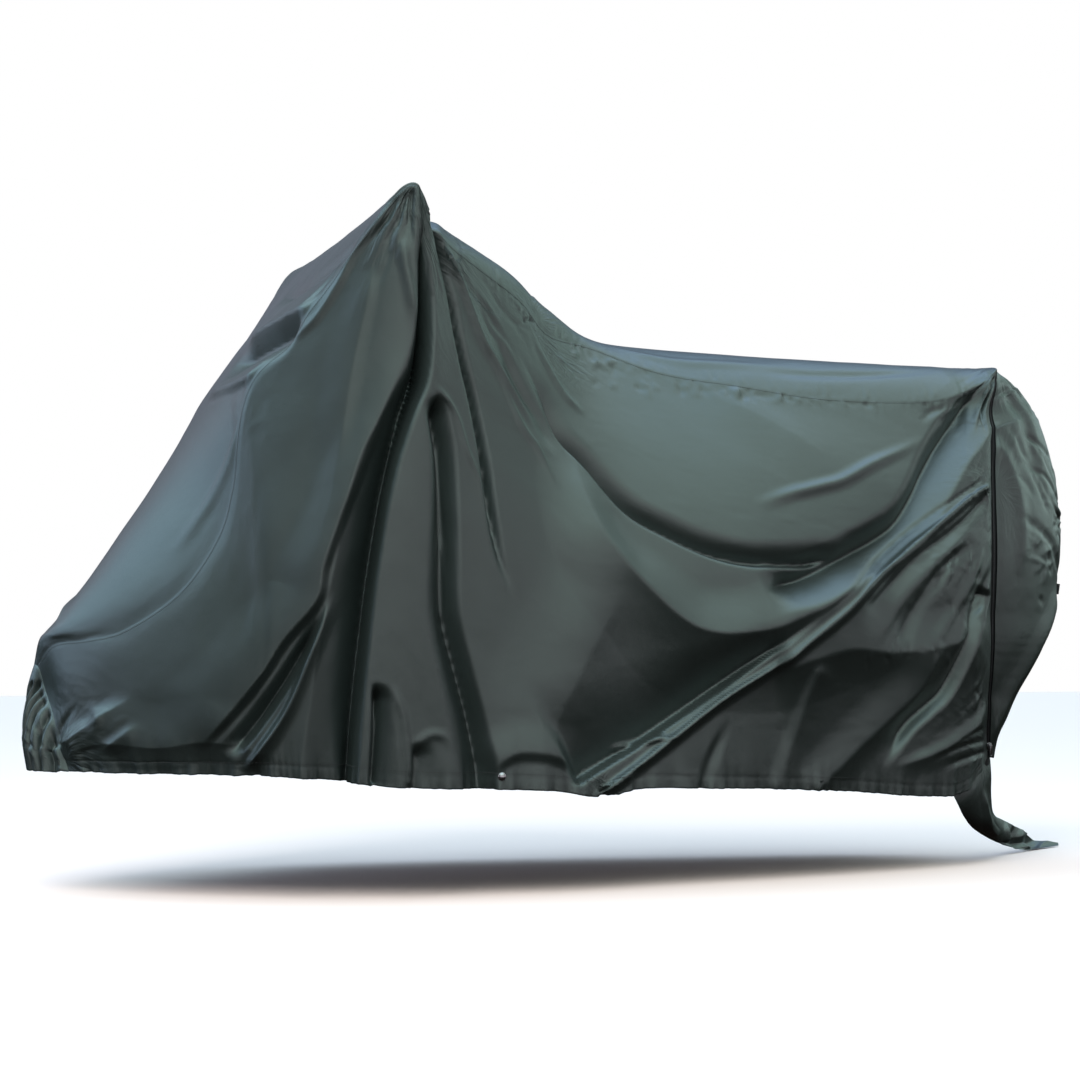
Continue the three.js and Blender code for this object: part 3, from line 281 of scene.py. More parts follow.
NOSE_FOLDS = table(FOLD, [
    [((-22, 396), (-50, 320), (-66, 214)), -15, (9, 12), (6, 9), (0.1, 0), (0.9, 1.6), 0],
    [((-20, 390), (-36, 310), (-46, 214)), -13, (8, 10), (6, 8), (0.15, 0), (0.9, 1.6), 0],
    [((-12, 370), (-18, 290), (-24, 214)), -13, (7, 10), (6, 8), (0.2, 0), (0.9, 1.6), 0],
    [((-4, 376), (-2, 290), (2, 214)), -13, (7, 9), (7, 9), (0.2, 0), (0.9, 0.9), 0],
    [((4, 380), (16, 300), (26, 214)), -15, (8, 12), (8, 12), (0.1, 0), (0.9, 0.9), 0],
    [((16, 370), (38, 290), (52, 214)), -15, (8, 12), (8, 12), (0.1, 0), (0.9, 0.9), 0],
    [((-38, 330), (-64, 270), (-76, 216)), 5, (7, 9), (8, 9), (0.3, 0), (0.9, 0.9), 0],
])
TOP_FOLDS = table(FOLD, [
    [((-510, -250), (-380, -120), (-230, 20), (-150, 90)),
     -9, (40, 30), (40, 30), (0.3, 0.4), (0.2, 0.2), 0],
    [((-500, 260), (-390, 150), (-290, 60)), -8, (30, 26), (40, 26), (0.3, 0.4), (0.2, 0.2), 0],
    [((60, -20), (300, 30), (560, 10)), -5, (50, 50), (50, 50), (0.4, 0.4), (0, 0), 0],
    [((-120, -150), (80, -165), (300, -150)), 4, (14, 18), (14, 18), (0.3, 0.4), (0.3, 0.3), 0],
    [((180, -175), (400, -160), (640, -120)), -4, (12, 12), (14, 12), (0.3, 0.4), (0.3, 0.3), 0],
])
TAIL_FOLDS = table(FOLD, [
    [((-120, 980), (-105, 900), (-112, 800), (-120, 700)),
     -7, (18, 26), (18, 26), (0.2, 0.4), (0.1, 0.1), 0],
    [((-175, 700), (-110, 652), (-60, 600), (0, 572)),
     -4, (20, 26), (14, 18), (0.2, 0.4), (0.3, 0.6), 0],
    [((120, 460), (80, 330), (50, 214)), -12, (18, 24), (18, 24), (0.4, 0), (0.2, 0.2), 0],
    [((150, 720), (90, 690), (20, 650)), -5, (20, 22), (20, 22), (0.3, 0.3), (0.2, 0.2), 0],
    [((-160, 812), (-92, 786), (-40, 742), (10, 728)),
     -4, (9, 14), (14, 10), (0.3, 0.3), (0.9, 0.4), 0],
    [((-98, 744), (-40, 690), (0, 640)), -4, (12, 9), (8, 12), (0.4, 0.3), (0.3, 0.9), 0],
    [((-130, 890), (-80, 846), (-20, 822)), -4, (10, 16), (12, 12), (0.4, 0.4), (0.8, 0.3), 0],
    # the edge under the tab, with the cloth beyond it turned away
    [((-20, 560), (-52, 510), (-92, 440), (-124, 350), (-140, 262), (-146, 214)),
     9, (30, 20), (60, 30), (0.2, 0.1), (1.7, 0.3), 0],
    [((20, 560), (-4, 480), (-40, 380), (-70, 300), (-84, 214)),
     -14, (30, 34), (34, 30), (0.3, 0.1), (0.3, 0.4), 0],
    [((-100, 985), (-60, 940), (0, 905)), -5, (8, 12), (8, 12), (0.1, 0.5), (0.4, 0.4), 0],
    [((100, 985), (70, 930), (40, 880)), -5, (8, 12), (8, 12), (0.1, 0.5), (0.4, 0.4), 0],
    [((-178, 900), (-158, 780), (-166, 640), (-172, 560)),
     6, (16, 20), (12, 14), (0.2, 0.4), (0.3, 0.9), 0],
])


# Groups of small creases: where, how widely spread, the pinched place they point away from, their
# spread in radians, their lengths and half widths, their number and their height.
CREASES = ("at", "reach", "away", "spread", "long", "wide", "count", "rise")
SIDE_CREASES = table(CREASES, [
    [(-588, 1125), (20, 30), (-555, 1212), 0.1, (40, 110), (8, 11), 12, 2.4],
    [(-480, 1070), (30, 36), (-548, 1200), 0.1, (40, 110), (8, 11), 14, 2.2],
    [(-380, 990), (36, 44), (-545, 1200), 0.12, (50, 120), (8, 11), 14, 2.0],
    [(-310, 1005), (24, 24), (-250, 1050), 0.4, (20, 50), (7, 9), 12, 2.2],
    [(700, 930), (40, 40), (760, 1005), 0.2, (30, 90), (8, 11), 12, 2.2],
    [(560, 580), (60, 50), (690, 750), 0.3, (24, 90), (6, 10), 20, 2.6],
    [(640, 500), (30, 30), (690, 560), 0.5, (20, 50), (6, 9), 12, 2.6],
    [(450, 420), (110, 16), (300, 700), 0.5, (18, 40), (5, 8), 12, 2.2],
    [(655, 760), (26, 50), (765, 1010), 0.5, (20, 70), (6, 10), 14, 1.8],
    [(660, 330), (30, 50), (700, 560), 0.4, (30, 70), (6, 10), 12, 2.2],
    [(-1040, 300), (30, 30), (-1094, 226), 0.3, (30, 80), (8, 11), 8, 2.0],
    [(250, 906), (300, 9), (250, 1600), 0.6, (16, 38), (7, 10), 80, 2.6],
    [(-120, 948), (70, 18), (-120, 1600), 0.6, (16, 38), (7, 10), 22, 2.4],
    [(640, 905), (60, 30), (765, 1010), 0.12, (50, 120), (8, 11), 14, 2.4],
])
TAIL_CREASES = table(CREASES, [
    [(-100, 800), (40, 60), (-150, 990), 0.3, (40, 120), (7, 12), 16, 3.4],
    [(-60, 700), (34, 44), (-190, 760), 0.7, (24, 70), (6, 11), 26, 3.0],
    [(-120, 620), (24, 70), (-170, 760), 0.7, (20, 60), (6, 10), 18, 2.8],
    [(60, 700), (60, 60), (190, 760), 0.4, (30, 80), (8, 12), 12, 2.4],
    [(0, 920), (60, 40), (0, 1010), 0.5, (30, 80), (8, 12), 12, 2.0],
])
NOSE_CREASES = table(CREASES, [
    [(-44, 290), (22, 44), (-92, 160), 0.1, (50, 150), (3.5, 5.5), 24, 1.6],
    [(40, 290), (30, 40), (92, 160), 0.12, (60, 150), (4, 6), 16, 1.6],
])

# Places where the cloth is worn, with their reach
WORN_SPOTS = [((-560, -400, 1165), 95), ((757, -140, 990), 120), ((-300, -262, 1020), 90),
              ((730, -190, 640), 130), ((-1080, -60, 300), 110), ((-440, -340, 1090), 80),
              ((560, -250, 600), 120), ((600, -225, 300), 110), ((-820, -255, 840), 70)]
FACE_SPOTS = [((-590, 380, 1170), 120), ((-700, 120, 1020), 120)]

# Pinched places the pleats run away from, mirrored on the right
PINCHES = table(("at", "reach", "pleats", "long", "strength"), [
    [(-551, -404, 1215), 170, 5.5, 110, 0.8], [(763, -135, 1006), 140, 5, 70, 0.35],
    [(-262, -255, 1012), 90, 4, 50, 0.6], [(703, -165, 752), 150, 5, 70, 0.3],
    [(-1090, -90, 222), 110, 4, 60, 0.6], [(716, -150, 226), 120, 5, 70, 0.45],
    [(-470, -350, 1112), 70, 4, 50, 0.6], [(-215, -365, 168), 70, 4, 50, 0.6],
])


# ---------------------------------------------------------------- curves and folds
def spline(values, at):
    """Smooth curve through the rows of values (n or n by k) at the places at."""
    values = np.asarray(values, float)
    at = np.asarray(at, float)
    last = len(values) - 1
    i = np.clip(np.floor(at).astype(int), 0, last - 1)
    f = at - i
    p1, p2 = values[i], values[i + 1]
    low, high = (i > 0), (i + 2 <= last)
    if values.ndim > 1:
        f, low, high = f[..., None], low[..., None], high[..., None]
    p0 = np.where(low, values[np.maximum(i - 1, 0)], 2 * p1 - p2)
    p3 = np.where(high, values[np.minimum(i + 2, last)], 2 * p2 - p1)
    bend = 2 * p0 - 5 * p1 + 4 * p2 - p3
    twist = 3 * p1 - p0 - 3 * p2 + p3
    return 0.5 * (2 * p1 + (p2 - p0) * f + bend * f * f + twist * f ** 3)


def column(rows, name):
    return np.array([r[name] for r in rows], float)


def mix(a, b, t):
    return a + (b - a) * t


def smooth(t):
    t = np.clip(t, 0, 1)
    return t * t * (3 - 2 * t)


def unit(v):
    return v / np.maximum(np.linalg.norm(v, axis=-1, keepdims=True), 1e-9)


def fold_field(folds, a, b):
    """Height of the folds over the points (a, b), and their sideways lean along a and b."""
    shape = a.shape
    a, b = a.ravel(), b.ravel()
    height = np.zeros_like(a)
    lean_a, lean_b = np.zeros_like(a), np.zeros_like(a)
    for fold in folds:
        count = (len(fold["path"]) - 1) * 8
        points = spline(fold["path"], np.arange(count + 1) / 8)
        reach = max(fold["left"] + fold["right"])
        low, high = points.min(0) - reach, points.max(0) + reach
        near = np.nonzero((a > low[0]) & (a < high[0]) & (b > low[1]) & (b < high[1]))[0]
        if not len(near):
            continue
        pa, pb = a[near], b[near]
        best = np.full(len(near), 1e18)
        side, along = np.ones(len(near)), np.zeros(len(near))
        da, db = np.zeros(len(near)), np.zeros(len(near))
        for k in range(count):
            (x0, y0), (x1, y1) = points[k], points[k + 1]
            dx, dy = x1 - x0, y1 - y0
            t = np.clip(((pa - x0) * dx + (pb - y0) * dy) / (dx * dx + dy * dy), 0, 1)
            ex, ey = pa - x0 - t * dx, pb - y0 - t * dy
            d2 = ex * ex + ey * ey
            closer = d2 < best
            best = np.where(closer, d2, best)
            side = np.where(closer, dx * ey - dy * ex, side)
            along = np.where(closer, (k + t) / count, along)
            norm = math.hypot(dx, dy)
            da, db = np.where(closer, -dy / norm, da), np.where(closer, dx / norm, db)
        width = np.where(side > 0, mix(*fold["left"], along), mix(*fold["right"], along))
        q = np.sqrt(best) / width
        grow, fade = fold["ends"]
        ends = (smooth(along / grow) if grow else 1) * (smooth((1 - along) / fade) if fade else 1)
        q = np.minimum(q, 1)
        sharp = np.where(side > 0, *fold["edge"])
        bell = mix(0.5 + 0.5 * np.cos(np.pi * q), (1 - q) ** 2, np.minimum(sharp, 1))
        bell = mix(bell, 1 - q, np.maximum(sharp - 1, 0)) * ends
        height[near] += fold["rise"] * bell
        lean_a[near] += fold["lean"] * bell * da
        lean_b[near] += fold["lean"] * bell * db
    return height.reshape(shape), lean_a.reshape(shape), lean_b.reshape(shape)


def gradient_noise(u, v, cell, rng):
    """Smooth uneven bumps between about -1 and 1, as wide as a cell."""
    x, y = u / cell, v / cell
    i, j = np.floor(x).astype(int), np.floor(y).astype(int)
    fx, fy = x - i, y - j
    i, j = i - i.min(), j - j.min()
    turn = rng.uniform(0, 2 * np.pi, (i.max() + 2, j.max() + 2))
    gx, gy = np.cos(turn), np.sin(turn)

    def corner(a, b):
        return gx[i + a, j + b] * (fx - a) + gy[i + a, j + b] * (fy - b)

    sx, sy = smooth(fx), smooth(fy)
    return 1.5 * mix(mix(corner(0, 0), corner(1, 0), sx), mix(corner(0, 1), corner(1, 1), sx), sy)


def run_lengths(grid, axis):
    """Length in millimetres from the start of the grid along one of its axes."""
    steps = np.linalg.norm(np.diff(grid, axis=axis), axis=2)
    zero = np.zeros_like(np.take(steps, [0], axis))
    return np.concatenate([zero, np.cumsum(steps, axis)], axis)


def run_along(line):
    """Length in millimetres from the start of a line of points."""
    return np.concatenate([[0], np.cumsum(np.linalg.norm(np.diff(line, axis=0), axis=1))])


def points_at(at, run, line):
    """Points of a line at the places at, where run holds the places of its own points."""
    return np.stack([np.interp(at, run, line[:, k]) for k in range(3)], -1)


def resampled(line, v, count):
    """A line of points at even shares of the way down, from the shares v of its own points."""
    return points_at(np.linspace(0, 1, count), v, line)


def gathers(arc, above, rng, wave=24.0, high=3.6, reach=46.0):
    """Elastic gathers: uneven waves along a hem, dying out above it."""
    flat = np.zeros_like(arc)
    phase = 2 * np.pi * arc / wave + 2.6 * gradient_noise(arc, flat, 3.1 * wave, rng)
    strength = 0.62 + 0.5 * gradient_noise(arc, flat + 7, 6.3 * wave, rng)
    bunch = np.sin(phase) + 0.35 * np.sin(2.37 * phase + 1.3)
    return high * np.clip(strength, 0.12, 1.2) * bunch * np.exp(-above / reach)


def seam_puckers(arc, off, rng):
    """Uneven puckers beside a seam, strong behind the shoulders and faint in front of them."""
    share = mix(0.12, 1, smooth((places - PEAK) / 0.5))[:, None]
    uneven = np.clip(0.4 + 1.3 * gradient_noise(arc, 0 * arc, 48, rng), 0.05, 1.4)
    return share * uneven * gathers(arc, np.maximum(off - 8, 0), rng, wave=23, high=2.1, reach=13)


def wrinkles(u, v, rng, worn):
    """Soft undulation everywhere, with sharp small creases where the cloth is worn."""
    soft = 0.8 * gradient_noise(u, v, 105, rng) + 0.25 * gradient_noise(u, v, 47, rng)
    crease = gradient_noise(u, v, 44, rng)
    return soft + worn * 1.6 * (0.35 - np.abs(crease))


def small_creases(a, b, rows, rng):
    """Many short straight creases that point away from the places where the cloth is pinched."""
    height = np.zeros_like(a)
    for row in rows:
        for _ in range(row["count"]):
            ca, cb = np.array(row["at"]) + rng.normal(0, 0.6, 2) * row["reach"]
            turn = math.atan2(cb - row["away"][1], ca - row["away"][0]) + rng.normal(0, row["spread"])
            half, wide = rng.uniform(*row["long"]) / 2, rng.uniform(*row["wide"])
            rise = row["rise"] * rng.choice([-1, 1]) * rng.uniform(0.5, 1)
            near = np.nonzero((np.abs(a - ca) < half + wide) & (np.abs(b - cb) < half + wide))
            da, db = a[near] - ca, b[near] - cb
            s = (da * math.cos(turn) + db * math.sin(turn)) / half
            t = (db * math.cos(turn) - da * math.sin(turn)) / wide + 0.25 * s * s
            height[near] += rise * np.clip(1 - np.abs(t), 0, 1) ** 1.5 * np.clip(1 - s * s, 0, 1)
    return height


def worn_near(grid, spots):
    """1 close to the named spots, each given as ((x, y, z), reach), falling to 0 away from them."""
    worn = np.zeros(grid.shape[:2])
    for spot, reach in spots:
        far = np.linalg.norm(grid - np.array(spot, float), axis=2)
        worn = np.maximum(worn, np.exp(-((far / reach) ** 2)))
    return worn


def turned_hem(grid, turn, radius=1.6):
    """Adds rows to a grid that roll its last row inwards and up again behind the cloth."""
    normals = grid_normals(grid, turn)[:, -1]
    edge = grid[:, -1]
    down = unit(edge - grid[:, -2])
    rows = [edge + down * radius * math.sin(a) - normals * radius * (1 - math.cos(a))
            for a in (0.8, 1.57, 2.4, 3.14)]
    rows += [edge - normals * 2 * radius - down * far for far in TURNED_UP]
    return np.concatenate([grid, np.stack(rows, 1)], axis=1)


def grid_normals(grid, turn):
    along, down = np.gradient(grid, axis=0), np.gradient(grid, axis=1)
    return unit(np.cross(along, down)) * turn


# ---------------------------------------------------------------- grids of the panels
def rib_places(step):
    """Places along the ribs, evenly spaced by the longer of the top seam and the hem."""
    at = np.linspace(0, len(RIBS) - 1, 4000)
    top, hem = spline(column(RIBS, "top"), at), spline(column(RIBS, "hem"), at)
    length = np.maximum(np.linalg.norm(np.diff(top, axis=0), axis=1),
                        np.linalg.norm(np.diff(hem, axis=0), axis=1))
    run = np.concatenate([[0], np.cumsum(length)])
    return np.interp(np.linspace(0, run[-1], int(run[-1] / step) + 1), run, at)


def side_base(side, at, v):
    """Points of a side panel before its folds; side is -1 for the left, v is 0 at the top seam."""
    top, hem = spline(column(RIBS, "top"), at), spline(column(RIBS, "hem"), at)
    if side > 0:
        top[:, 1] += spline(column(RIBS, "lean"), at)
    full = spline(column(RIBS, "full"), at)
    full = np.concatenate([np.zeros((len(at), 1)), full, np.zeros((len(at), 1))], axis=1)
    bow = spline(column(RIBS, "bow"), at)
    out = np.stack([spline(full[k], 4 * v[k]) for k in range(len(at))])
    grid = top[:, None] + (hem - top)[:, None] * v[..., None]
    grid[..., 0] += bow[:, None] * 4 * v * (1 - v)
    grid[..., 1] = side * (grid[..., 1] + out)
    return grid


def arch(left, right, crown, square, lift, c, round_power=0.85):
    """Rows of points from the left edge to the right edge through the crown; c runs from -1 to 1."""
    edge = np.abs(c)[None, :]
    square = square[:, None]
    power = np.where(square < 2.5, round_power, 1.0)
    rise = crown - (left + right) / 2
    t = ((c + 1) / 2)[None, :, None]
    points = left[:, None] + (right - left)[:, None] * t
    points = points + rise[:, None] * ((1 - edge ** square) ** power)[..., None]
    points[..., 2] += lift[:, None] * 4 * edge ** 4 * (1 - edge ** 4)
    return points


def folded(grid, turn, folds, view):
    """Moves a grid by its folds, whose lines lie in the two axes that view names."""
    i, k = view
    height, lean_a, lean_b = fold_field(folds, grid[..., i], grid[..., k])
    grid = grid + grid_normals(grid, turn) * height[..., None]
    grid[..., i] += lean_a
    grid[..., k] += lean_b
    return grid


def cloth_mesh(name, grid, turn, flow=None):
    """A sheet of cloth from its grid, with a map of its own in metres."""
    n, m = grid.shape[:2]
    bm = bmesh.new()
    bmesh.ops.create_grid(bm, x_segments=n - 1, y_segments=m - 1, size=1)
    if turn < 0:
        bmesh.ops.reverse_faces(bm, faces=bm.faces)
    mesh = bpy.data.meshes.new(name)
    bm.to_mesh(mesh)
    bm.free()
    flat = np.empty(len(mesh.vertices) * 3)
    mesh.vertices.foreach_get("co", flat)
    flat = flat.reshape(-1, 3)
    i = np.rint((flat[:, 0] + 1) / 2 * (n - 1)).astype(int)
    j = np.rint((flat[:, 1] + 1) / 2 * (m - 1)).astype(int)
    points = grid[i, j] / 1000
    points[:, 0] += CENTRING / 1000
    mesh.vertices.foreach_set("co", points.ravel())
    along = np.linalg.norm(np.diff(grid, axis=0), axis=2).mean(1)
    down = np.linalg.norm(np.diff(grid, axis=1), axis=2).mean(0)
    u = np.concatenate([[0], np.cumsum(along)]) / 1000
    v = np.concatenate([[0], np.cumsum(down)]) / 1000
    loops = np.empty(len(mesh.loops), int)
    mesh.loops.foreach_get("vertex_index", loops)
    layer = mesh.uv_layers.new(name="cloth")
    layer.data.foreach_set("uv", np.stack([u[i][loops], v[j][loops]], 1).ravel())
    if flow is not None:
        share = mesh.attributes.new("worn", "FLOAT", "POINT")
        share.data.foreach_set("value", flow[i, j, 3].astype(np.float32))
        turned = mesh.attributes.new("flow", "FLOAT_VECTOR", "POINT")
        turned.data.foreach_set("vector", flow[i, j, :3].ravel().astype(np.float32))
    mesh.polygons.foreach_set("use_smooth", np.ones(len(mesh.polygons), bool))
    mesh.update()
    obj = bpy.data.objects.new(name, mesh)
    bpy.context.scene.collection.objects.link(obj)
    area = sum(p.area for p in mesh.polygons)
    return obj, (u[-1], v[-1], area)


def rows_down(length, step):
    """Shares of the way down, close together at the seam and at the hem, and even between them."""
    near = np.array([0, 1.3, 2.6, 4.2, 6.2, 8.6])
    low = np.array([16, 12.5, 9.5, 7, 4.5, 2.2, 0])
    count = int(length.max() / step)
    start, end = near[-1] / length, 1 - low[0] / length
    between = np.linspace(0, 1, count)[1:-1]
    return np.concatenate([near[None] / length[:, None],
                           start[:, None] + (end - start)[:, None] * between[None],
                           1 - low[None] / length[:, None]], axis=1)


def swelled(grid, high=3, reach=55):
    """The two peaks pushed outwards a little, where the cloth caps what it hangs on."""
    for side in (-1, 1):
        core = np.array([-553, side * 380, 1120.0])
        tip = np.array([-551, side * 392, 1182.0])
        near = np.exp(-(np.linalg.norm(grid - tip, axis=-1) / reach) ** 2)[..., None]
        grid = grid + unit(grid - core) * high * near
    return grid


places = rib_places(CLOTH_STEP)


def side_grid(side, folds, step, name):
    """A side panel with its folds, wrinkles, seam edge and gathered hem, before the hem is turned."""
    rng = np.random.default_rng(SEEDS[name])
    top, hem = spline(column(RIBS, "top"), places), spline(column(RIBS, "hem"), places)
    v = rows_down(np.linalg.norm(hem - top, axis=1), step)
    grid = folded(side_base(side, places, v), side, folds, (0, 2))
    down, along = run_lengths(grid, 1), run_lengths(grid, 0)
    above = down[:, -1:] - down
    ends = smooth(np.minimum(along[:, :1] * 0 + np.minimum(along, along[-1:] - along), 40) / 40)
    worn = worn_near(grid * np.array([1, -side, 1]), WORN_SPOTS)
    hem_arc = run_lengths(grid[:, -1:], 0)[:, :1] + 0 * down
    seam_arc = along[:, :1] + 0 * down
    hold = smooth(down / 14) * ends
    height = wrinkles(along, down, rng, worn) * hold
    height += small_creases(grid[..., 0], grid[..., 2], SIDE_CREASES, rng) * hold
    height += gathers(hem_arc, above, rng, high=2.4, reach=20) * ends
    height += gathers(hem_arc, above, rng, wave=71, high=3.4, reach=40) * ends
    height += seam_puckers(seam_arc, down, rng) * smooth(down / 6) * ends
    height -= 0.6 * np.exp(-((above - 19) / 2.4) ** 2)
    return swelled(grid + grid_normals(grid, side) * height[..., None]), v


left, left_v = side_grid(-1, LEFT_FOLDS, CLOTH_STEP, "left")
right, right_v = side_grid(1, RIGHT_FOLDS, RIGHT_STEP, "right")


def edge_steps(count, close):
    """Places from -1 to 1, with a few more close to both ends."""
    inner = np.linspace(-1 + close[-1] * 1.6, 1 - close[-1] * 1.6, count)
    near = np.array(close)
    return np.concatenate([-1 + near, inner, (1 - near)[::-1]])


across = edge_steps(91, (0, 0.004, 0.009, 0.016, 0.026))
nose_across = edge_steps(150, (0, 0.01, 0.02))


def spine_cloth(left_edge, right_edge, c):
    """The spine between the two top seams: its face in front of the shoulders and the strip behind."""
    rng = np.random.default_rng(SEEDS["spine"])
    mid = spline(column(RIBS, "mid"), places)
    crown = np.stack([mid[:, 0], (left_edge[:, 1] + right_edge[:, 1]) / 2, mid[:, 1]], 1)
    grid = arch(left_edge, right_edge, crown, spline(column(RIBS, "square"), places),
                spline(column(RIBS, "lift"), places), c, 1.2)
    face = fold_field(FRONT_FOLDS, grid[..., 1], grid[..., 2])[0]
    strip = fold_field(TOP_FOLDS, grid[..., 0], grid[..., 1])[0]
    height = mix(face, strip, smooth((places - PEAK + 0.3) / 0.6)[:, None])
    along, over = run_lengths(grid, 0), run_lengths(grid, 1)
    edge = np.minimum(over, over[:, -1:] - over)
    ends = smooth(np.minimum(along, along[-1:] - along) / 40)
    height += wrinkles(along, over, rng, worn_near(grid, WORN_SPOTS + FACE_SPOTS)) * ends
    seam_arc = along[:, :1] + 0 * along
    height += seam_puckers(seam_arc, edge, rng) * ends
    height *= smooth(edge / 14)
    still = grid + grid_normals(grid, 1) * height[..., None]
    return mix(swelled(still), still, (edge < 0.5)[..., None])


spine = spine_cloth(left[:, 0], right[:, 0], across)


def end_cloth(name, left_edge, right_edge, rows, c, folds, creases, turn):
    """A panel between two side edges, with its middle line from a table and elastic at its foot."""
    rng = np.random.default_rng(SEEDS[name])
    share = np.linspace(0, 1, len(left_edge))
    place = np.interp(share, column(rows, "at"), np.arange(len(rows)))
    mid = spline(column(rows, "mid"), place)
    crown = np.stack([mid[:, 0], (left_edge[:, 1] + right_edge[:, 1]) / 2, mid[:, 1]], 1)
    grid = arch(left_edge, right_edge, crown, spline(column(rows, "square"), place),
                np.zeros(len(share)), c)
    height = fold_field(folds, grid[..., 1], grid[..., 2])[0]
    down, over = run_lengths(grid, 0), run_lengths(grid, 1)
    edge = np.minimum(over, over[:, -1:] - over)
    above = down[-1:] - down
    top = smooth(down / 40)
    height += wrinkles(down, over, rng, 0.1 + 0.5 * worn_near(grid, WORN_SPOTS)) * top
    height += small_creases(grid[..., 1], grid[..., 2], creases, rng) * top
    wave, high, reach = ELASTIC[name]
    height += gathers(over[-1:] + 0 * over, above, rng, wave, high, reach) * smooth(down / 30)
    return grid + grid_normals(grid, turn) * (height * smooth(edge / 14))[..., None]


def with_first_row(grid, row, reach):
    """Draws the first rows of a grid onto the row of another panel that it is sewn to."""
    ease = 1 - smooth(np.arange(len(grid)) / reach)
    return grid + (row - grid[0])[None] * ease[:, None, None]


def round_seam(side, spine, first):
    """Rounds the crease between a side panel and the spine along their seam."""
    radius = np.interp(places, column(ROUND_SEAM, "rib"), column(ROUND_SEAM, "mm"))
    spine = spine if first else spine[:, ::-1]
    a, b = unit(side[:, 4] - side[:, 0]), unit(spine[:, 4] - spine[:, 0])
    half = (np.pi - np.arccos(np.clip(np.sum(a * b, 1), -1, 1))) / 2
    inward = unit(a + b) * (radius * (1 / np.cos(np.minimum(half, 1)) - 1))[:, None]
    width = np.maximum(radius * np.tan(np.minimum(half, 1)), 1)
    kernel = np.ones(9) / 9
    width = np.convolve(np.pad(width, 4, mode="edge"), kernel, "valid")
    inward = np.stack([np.convolve(np.pad(inward[:, k], 4, mode="edge"), kernel, "valid")
                       for k in range(3)], 1)
    moved = []
    for grid in (side, spine):
        near = 1 - np.clip(run_lengths(grid, 1) / width[:, None], 0, 1)
        moved.append(grid + inward[:, None] * (near ** 2)[..., None])
    return moved[0], moved[1] if first else moved[1][:, ::-1]


left, spine = round_seam(left, spine, True)
right, spine = round_seam(right, spine, False)
tail = end_cloth("tail", resampled(left[-1], left_v[-1], SLIT_ROWS),
                 resampled(right[-1], right_v[-1], SLIT_ROWS), TAIL, across, TAIL_FOLDS, TAIL_CREASES, 1)
tail = with_first_row(tail, spine[-1], 4)
nose = end_cloth("nose", resampled(left[0], left_v[0], NOSE_ROWS),
                 resampled(right[0], right_v[0], NOSE_ROWS), NOSE, nose_across, NOSE_FOLDS,
                 NOSE_CREASES, -1)
apex = resampled(spine[0], np.linspace(0, 1, spine.shape[1]), nose.shape[1])
nose = with_first_row(nose, apex, 4)


# ---------------------------------------------------------------- zip slit
def slit_frames():
    """Points down the slit, with the direction out of the cloth and the one into the left panel."""
    points = resampled(left[-1], left_v[-1], SLIT_ROWS)
    into = unit(resampled(left[-4], left_v[-4], SLIT_ROWS) - points)
    back = unit(tail[:, 3] - points)
    along = unit(np.gradient(points, axis=0))
    out = unit(np.cross(along, unit(back - into)))
    out = out * np.sign(-out[:, 1:2])
    inward = unit(np.cross(along, out))
    return points, out, inward * np.sign(np.sum(inward * into, 1, keepdims=True))


slit, slit_out, slit_in = slit_frames()
zip_half = spline(ZIP_WIDTH, np.linspace(0, len(ZIP_WIDTH) - 1, SLIT_ROWS)) / 2 * 1.15


def drawn_apart(grid, direction, half, reach=32.0):
    """Draws a panel's cloth back from the slit, which is the first line of its grid."""
    ease = (1 - smooth(run_lengths(grid, 1) / reach))[..., None]
    return grid + direction[:, None] * half[:, None, None] * ease


slit_share = np.linspace(0, 1, SLIT_ROWS)
half_left = np.interp(left_v[-1], slit_share, zip_half)
in_left = points_at(left_v[-1], slit_share, slit_in)
left = drawn_apart(left[::-1].transpose(1, 0, 2), in_left, half_left).transpose(1, 0, 2)[::-1]
tail = drawn_apart(tail, -slit_in, zip_half)
left, right = turned_hem(left, -1), turned_hem(right, 1)
tail = turned_hem(tail.transpose(1, 0, 2), -1).transpose(1, 0, 2)
nose = turned_hem(nose.transpose(1, 0, 2), 1).transpose(1, 0, 2)


def flap_cloth(rows_count, across_count):
    """The loose corner: hangs from behind the left hem and turns over onto the floor."""
    rng = np.random.default_rng(SEEDS["flap"])
    at = np.linspace(0, len(FLAP) - 1, rows_count)
    near, far, belly = (spline(column(FLAP, name), at) for name in ("near", "far", "belly"))
    t = np.linspace(0, 1, across_count)[None, :, None]
    grid = near[:, None] + (far - near)[:, None] * t + belly[:, None] * 4 * t * (1 - t)
    down, over = run_lengths(grid, 0), run_lengths(grid, 1)
    height = 0.5 * wrinkles(down, over, rng, 0.8)
    folds = table(FOLD, [[path, (-8, 7)[k % 2], (22, 22), (18, 20), (0.2, 0.2), (1.7, 1.6), 0]
                         for k, path in enumerate(FLAP_FOLDS)])
    height += fold_field(folds, down, over)[0]
    grid = grid + grid_normals(grid, 1) * height[..., None]
    grid[..., 2] = np.maximum(grid[..., 2], 2.2)
    return grid


flap = flap_cloth(130, 44)


# ---------------------------------------------------------------- materials
def new_material(name):
    mat = bpy.data.materials.new(name)
    mat.use_nodes = True
    nodes = mat.node_tree.nodes
    return mat, nodes, mat.node_tree.links, nodes["Principled BSDF"]


def number(nodes, links, operation, *inputs):
    """A maths node with numbers or outputs as its inputs."""
    node = nodes.new("ShaderNodeMath")
    node.operation = operation
    for k, value in enumerate(inputs):
        if isinstance(value, (int, float)):
            node.inputs[k].default_value = value
        else:
            links.new(value, node.inputs[k])
    return node.outputs[0]


